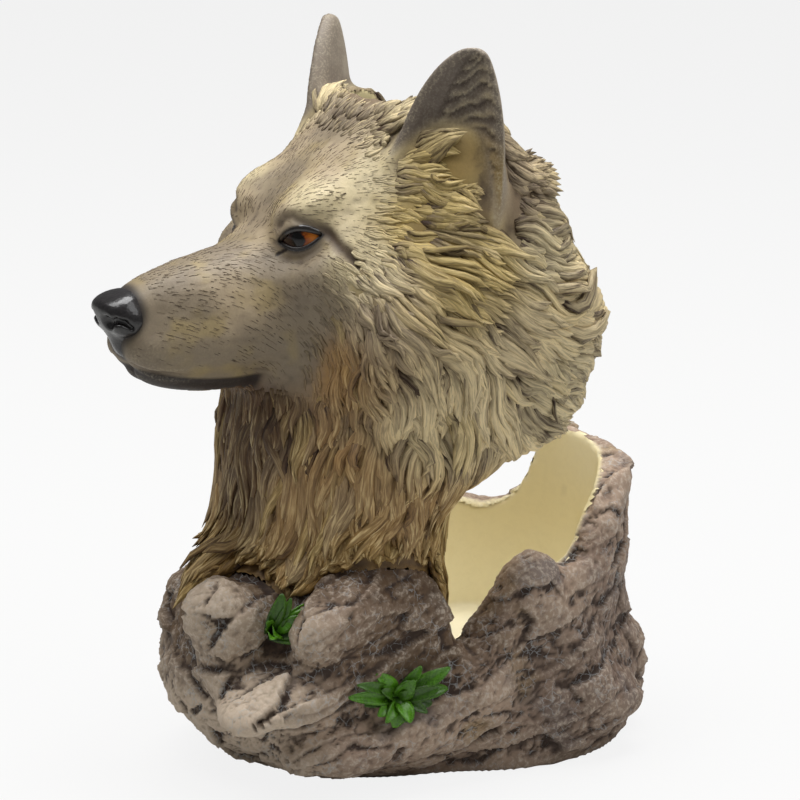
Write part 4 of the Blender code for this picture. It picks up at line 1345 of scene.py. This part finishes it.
def eye_gap(points):
    """Distance from the eye's slit, taken on the eyeball, on either side of the head."""
    local = from_eye(points)
    upper, lower = lid_heights(local[:, 0])
    slit = np.maximum(local[:, 2] - upper, lower - local[:, 2])
    slit = np.maximum(slit, np.abs(local[:, 0]) - 0.97 * EYE_RADIUS)
    off = np.abs(np.linalg.norm(local, axis=1) - EYE_RADIUS) - 2.5 * MM
    return np.maximum(np.maximum(slit, off), local[:, 1])


def iris_paint(local):
    """The eye's paint by the angle from its axis: a black pupil, an iris of fine rays that is amber on the
    outer side and darkened above and towards the nose by painted shade of the lids, and black beyond it."""
    angle = np.arctan2(np.hypot(local[:, 0], local[:, 2]), -local[:, 1])
    spin = np.arctan2(local[:, 2], local[:, 0])
    rays = noise(np.stack([np.cos(spin) * 9, angle * 3, np.sin(spin) * 9], 1) * MM, 1.0, 161)
    amber = painted("#8a3d0c", ("#c9741c", smooth(0.26, 0.60, angle) + rays * 0.35))
    return painted(
        amber,
        # Painted shade of the lids: the iris darker towards the nose, and nearly black above
        ("#2a120a", 1 - smooth(-0.05, 0.65, np.cos(spin + 0.25))),
        ("#120b08", smooth(0.55, 0.95, np.sin(spin)) * 0.9),
        ("#120b08", smooth(0.70, 0.84, angle)),
        ("#070606", 1 - smooth(0.24, 0.30, angle + rays * 0.01)),
    )


def make_eyes():
    """Each eyeball is a sphere on a grid of angles from the optical axis, its middle bulging like a cornea.
    Each lid is a tapered tube along its edge of the slit."""
    rings, spokes = 60, 84
    tilt = np.linspace(0, np.pi * 0.62, rings)[:, None]
    spin = np.linspace(0, 2 * np.pi, spokes, endpoint=False)[None, :]
    bulge = 1 + 0.035 * smooth(0.42, 0.0, tilt)
    ball = [np.sin(tilt) * np.cos(spin), -np.cos(tilt) + 0 * spin, np.sin(tilt) * np.sin(spin)]
    local = (np.stack(ball, -1) * bulge[..., None]).reshape(-1, 3)
    number = np.arange(rings * spokes).reshape(1, rings, spokes)
    quads, back = ring_quads(number), number[:, -1, ::-1]
    for side, name in ((1, "left"), (-1, "right")):
        points = (vector(*EYE) + local * EYE_RADIUS @ turn(*EYE_TURN).T) * vector(side, 1, 1)
        faces = [quads[:, ::-side], back[:, ::-side]]
        piece(f"eyeball_{name}", points, faces, EYE_PAINT, paint=iris_paint(local))
        make_lids(side, name)


def make_lids(side, name):
    """The two lids of the eye on one side of the head."""
    t = np.linspace(-1, 1, 40)
    x = t * 0.93 * EYE_RADIUS
    upper, lower = lid_heights(x)
    meet = (upper + lower) / 2
    around = np.linspace(0, 2 * np.pi, 12, endpoint=False)
    reach = EYE_RADIUS + 0.25 * MM
    for edge, z, thick in (("upper", np.maximum(upper, meet), 1.0), ("lower", np.minimum(lower, meet), 0.6)):
        depth = -np.sqrt(np.clip(reach**2 - x**2 - z**2, 0, None))
        path = np.stack([x, depth, z], -1) @ turn(*EYE_TURN).T
        outward, along = unit(path), unit(np.gradient(path, axis=0))
        radius = (thick * MM * (0.35 + 0.65 * (1 - t**4) ** 0.5))[None, :, None]
        wide, tall = radius * np.cos(around) * 1.25, radius * np.sin(around) * 0.9
        path = path + vector(*EYE)
        points, faces = carry(path[None], np.cross(outward, along)[None], outward[None], wide, tall)
        faces = [f[:, ::side] for f in faces]
        piece(f"{edge}_lid_{name}", points * vector(side, 1, 1), faces, RIM_PAINT)


def eye_material():
    """Gloss enamel over the hand-painted iris, flowed on with a brush."""
    material, tree, shader = new_material("gloss enamel eye")
    connect(tree, shader, {
        "Base Color": own(tree, "paint")["Color"], "Roughness": 0.25, "Specular IOR Level": 0.15,
        "Coat Weight": 0.55, "Coat Roughness": 0.03,
    })
    return material


def fine_nose(p):
    """The nose pad cut sharper: flat on top and in front, with a comma of a nostril on each side, and split
    below."""
    q = folded(p)
    x, y, z = (value / MM for value in NOSE_TIP)
    pad = ellipsoid(q, (x, y + 8.3, z - 2.2), (9.6, 8.8, 8.2), turn(-16, 0, 0))
    wing = ellipsoid(q, (x + 6.4, y + 8.5, z - 4.6), (4.3, 6.6, 5.2), turn(-10, 0, -12))
    pad = soft_min(pad, wing, 2 * MM)
    pad = soft_min(pad, ellipsoid(q, (x, y + 11, z - 10), (5, 5.5, 8)), 4 * MM)
    away = p - np.array(NOSE_TIP)
    pad = soft_max(pad, away @ np.array([0, -0.29, 0.957]) - 1.4 * MM, 3 * MM)
    pad = soft_max(pad, away @ np.array([0, -0.95, -0.31]) - 0.2 * MM, 3 * MM)
    hole = ellipsoid(q, (x + 5.0, y + 1.2, z - 5.0), (2.7, 3.6, 2.8), turn(0, 20, 0))
    comma = np.array(((6.4, 2.4, -4.6), (8.2, 4.0, -3.8), (9.4, 6.2, -4.4), (9.9, 8.6, -6.4))) + (x, y, z)
    for start, end, thick in zip(comma[:-1], comma[1:], (1.4, 1.1, 0.9)):
        hole = soft_min(hole, rod(q, start, end, thick, thick * 0.8), 0.8 * MM)
    pad = soft_max(pad, -hole, 1.1 * MM)
    return soft_max(pad, -rod(q, (x, y - 0.5, z - 4.5), (x, y + 8.5, z - 20), 0.6, 0.8), 0.8 * MM)


def make_nose():
    """The nose pad, cut much finer than the rest, pebbled and glossy."""
    def chosen(p):
        return bare_coat(p) > -1.2 * MM

    low = np.array(NOSE_TIP) + vector(-14, -4, -24) * MM
    high = np.array(NOSE_TIP) + vector(14, 20, 8) * MM
    points, quads, normals = zone(fine_nose, low, high, NOSE_STEP, chosen)
    near, far, _, _ = cells(points, 1.1, 120)
    points = points + normals * (smooth(0.0, 0.35, far - near) * 0.05 * MM + 0.1 * MM)[:, None]
    piece("nose_pad", points, [quads], NOSE_PAINT)


def make_leaves():
    """Leaves, two for each of the solid's: a thin lens section folded along the midrib, carried along a
    path that arches from root to tip."""
    stations = 16
    s = np.linspace(0, 1, stations)
    rng = np.random.default_rng(5)
    lines, halves, folds = [], [], []
    for root, tip in [(root, tip) for root, tips in TUFTS for tip in tips for _ in range(2)]:
        way = vector(*tip) * rng.uniform(0.9, 1.35) + rng.normal(0, 1.6, 3) + (0, 1.5, 1.0)
        start = vector(*root) + rng.normal(0, 0.8, 3)
        arch = vector(1.0, 0, 0.4) * rng.uniform(1.2, 2.6)
        lines.append((start + way * s[:, None] + arch * np.sin(np.pi * s * 0.9)[:, None]) * MM)
        halves.append(rng.uniform(1.7, 3.3) * MM)
        folds.append(rng.uniform(0.25, 0.6))
    lines = np.stack(lines)
    along = unit(np.gradient(lines, axis=1))
    sides = unit(np.cross(vector(1, -0.15, 0.35), along))
    taper = np.sin(np.pi * np.clip(s * 0.92 + 0.06, 0, 1)) ** 0.75 + 0.03
    wide = (np.array(halves)[:, None] * taper)[..., None]
    a = np.array([-1, -0.6, -0.2, 0.2, 0.6, 1, 0.6, 0.2, -0.2, -0.6])
    across = wide * a
    fold = np.array(folds)[:, None, None] * wide * np.abs(a) ** 1.3
    height = fold + np.where(np.arange(len(a)) < 6, 0.16, -0.18) * MM * (1 - np.abs(a) ** 4)
    points, faces = carry(lines, sides, np.cross(along, sides), across, height)
    away = np.broadcast_to(np.abs(a), across.shape).ravel()
    shade = np.broadcast_to(s[:, None], across.shape).ravel()
    tone = np.repeat(rng.uniform(0.35, 1.25, len(lines)), stations * len(a))
    base = painted(
        "#5f9a1e",
        ("#285a12", smooth(0.2, 0.0, away) * 0.6 + 0.25),
        ("#1c3a10", smooth(0.5, 0.0, shade) * 0.75),
    )
    wash, crest = smooth(0.35, 0.0, shade) * 0.5, smooth(0.6, 1.0, away) * 0.25
    piece("leaf_tufts", points, faces, LEAF_PAINT, paint=base * tone[:, None], wash=wash, crest=crest)


# Light, floor and camera

def make_stage():
    """A plain pale floor that keeps the object's shadow, in a pale even room."""
    mesh = bpy.data.meshes.new("floor")
    mesh.from_pydata([(-3, -3, 0), (3, -3, 0), (3, 3, 0), (-3, 3, 0)], [], [(0, 1, 2, 3)])
    floor = bpy.data.objects.new("floor", mesh)
    bpy.context.collection.objects.link(floor)
    material, tree, shader = new_material("pale floor")
    connect(tree, shader, {"Base Color": colour("#c9c9c7"), "Roughness": 0.9})
    seen = add(tree, "ShaderNodeLightPath").outputs["Is Camera Ray"]
    white = add(tree, "ShaderNodeEmission", {"Color": (1, 1, 1, 1), "Strength": 1.0})
    share = combine(tree, "MULTIPLY", seen, FLOOR_WHITE)
    both = add(tree, "ShaderNodeMixShader", {0: share, 1: shader.outputs[0], 2: white.outputs[0]})
    connect(tree, tree.nodes["Material Output"], {"Surface": both.outputs[0]})
    mesh.materials.append(material)
    world = bpy.data.worlds.new("pale room")
    bpy.context.scene.world = world
    world.use_nodes = True
    tree = world.node_tree
    tree.nodes.clear()
    seen = add(tree, "ShaderNodeLightPath").outputs["Is Camera Ray"]
    glow = remap(tree, seen, 0.0, 1.0, ROOM_LIGHT)
    back = add(tree, "ShaderNodeBackground", {"Color": (1, 1, 1, 1), "Strength": glow})
    add(tree, "ShaderNodeOutputWorld", {"Surface": back.outputs[0]})


ROOM_LIGHT = 0.14
# How much of the floor the camera sees as plain white
FLOOR_WHITE = 0.86
CAMERA_AROUND = 60
CAMERA_UP = 14
CAMERA_AWAY = 1.150
LOOK_AT = (0, -0.030, 0.121)
LENS_MM = 150.9
# Lamps: degrees round from the camera, degrees up, distance, size, watts
LAMPS = (
    ("key", -70, 66, 1.3, 0.8, 8.0),
    ("fill", 66, 42, 1.4, 1.0, 5.5),
    ("top", 150, 80, 1.2, 0.9, 14),
)


def direction(around, up):
    around, up = math.radians(around), math.radians(up)
    return Vector((math.sin(around) * math.cos(up), -math.cos(around) * math.cos(up), math.sin(up)))


def place(made, around, up, away):
    target = Vector(LOOK_AT)
    made.location = target + direction(around, up) * away
    made.rotation_euler = (target - made.location).to_track_quat("-Z", "Y").to_euler()
    bpy.context.collection.objects.link(made)


def make_lamps_and_camera():
    for name, around, up, away, size, watts in LAMPS:
        lamp = bpy.data.lights.new(name, "AREA")
        lamp.shape = "DISK"
        lamp.size = size
        lamp.energy = watts
        place(bpy.data.objects.new(name, lamp), CAMERA_AROUND + around, up, away)
    lens = bpy.data.cameras.new("camera")
    lens.lens = LENS_MM
    lens.sensor_width = 36
    camera = bpy.data.objects.new("camera", lens)
    place(camera, CAMERA_AROUND, CAMERA_UP, CAMERA_AWAY)
    bpy.context.scene.camera = camera
    bpy.context.scene.view_settings.view_transform = "Standard"


make_stage()
make_lamps_and_camera()

# Each paint's name, whether it runs in strands, its grain in mm, roughness, wash, dry brush and relief in mm,
# then its speckle and its web of lines where it has them
ROCK_PAINT = resin_paint(
    "cold-cast resin, painted rock", False, 1.6, 0.72, "#3a2a20", "#cdbfae", 0.16, 0.12, "#b3b7b8"
)
LINING_PAINT = resin_paint(
    "cold-cast resin, cream wash", False, 2.5, 0.42, "#7d6a35", "#e6dcb4", 0.03, 0.03
)
FACE_PAINT = resin_paint(
    "cold-cast resin, painted face", False, 0.8, 0.58, "#43342a", "#d6cbb0", 0.06, 0.08
)
LOCK_PAINT = resin_paint(
    "cold-cast resin, painted locks", True, 0.8, 0.62, "#38220f", "#ecd5a0", 0.55, 0.45
)
LEAF_PAINT = resin_paint("gloss green enamel", False, 0.8, 0.30, "#0d1f08", "#8fc24a", 0.05)
EYE_PAINT = eye_material()
RIM_PAINT = gloss_paint("black enamel, lids", "#14100e", "#2a211c", 0.32, 0.6, 0.04, 0.6)
NOSE_PAINT = gloss_paint("black enamel, nose", "#121011", "#262223", 0.34, 0.45, 0.06, 0.8)

make_rock()
make_lining()
make_coat()
FACE_POINTS = make_face()
make_nose()
make_eyes()


def off_rock_and_bore(p):
    return (rocks(p) > 0.5 * MM) & (past_bore(p) > 1 * MM)


COAT_POINTS, _, _ = zone(form, COAT_LOW, BOUNDS_HIGH, GRID_STEP, off_rock_and_bore)
COAT_LENGTH = shag(COAT_POINTS)
STANDING = COAT_LENGTH * raised(COAT_POINTS)

ROOTS, SIZES, BENDS = solid_locks()
for name, low_z, high_z, longer, strands in (
    ("neck_locks", -1, 0.128, 1.45, 7),
    ("cheek_locks", 0.128, 0.176, 1.2, 8),
    ("mane_locks", 0.176, 1, 1.1, 9),
):
    here = (ROOTS[:, 2] >= low_z) & (ROOTS[:, 2] < high_z)
    make_clumps(
        name, ROOTS[here], SIZES[here], BENDS[here], LOCK_LENGTH * longer, 13 * MM, 2.4 * MM, strands, 9, 11,
        fan=0.35, dark=0.62, groove=0.30,
    )
make_clumps(
    "coat_locks", *seeds(7.4 * MM, COAT_LENGTH > 0.25, 12), 18 * MM, 5.6 * MM, 1.2 * MM, 3, 7, 12,
    fan=0.15, dark=0.35, groove=0.22, start=0.25,
)
make_clumps(
    "short_locks", *seeds(3.45 * MM, (STANDING > 0.01) & (STANDING < 0.6), 13), 9 * MM, 2.8 * MM, 0.42 * MM,
    3, 5, 13, dark=0.10, groove=0.16, start=0.02,
)
make_strokes(FACE_POINTS, 1.7 * MM, 3.0 * MM, 15)
make_leaves()
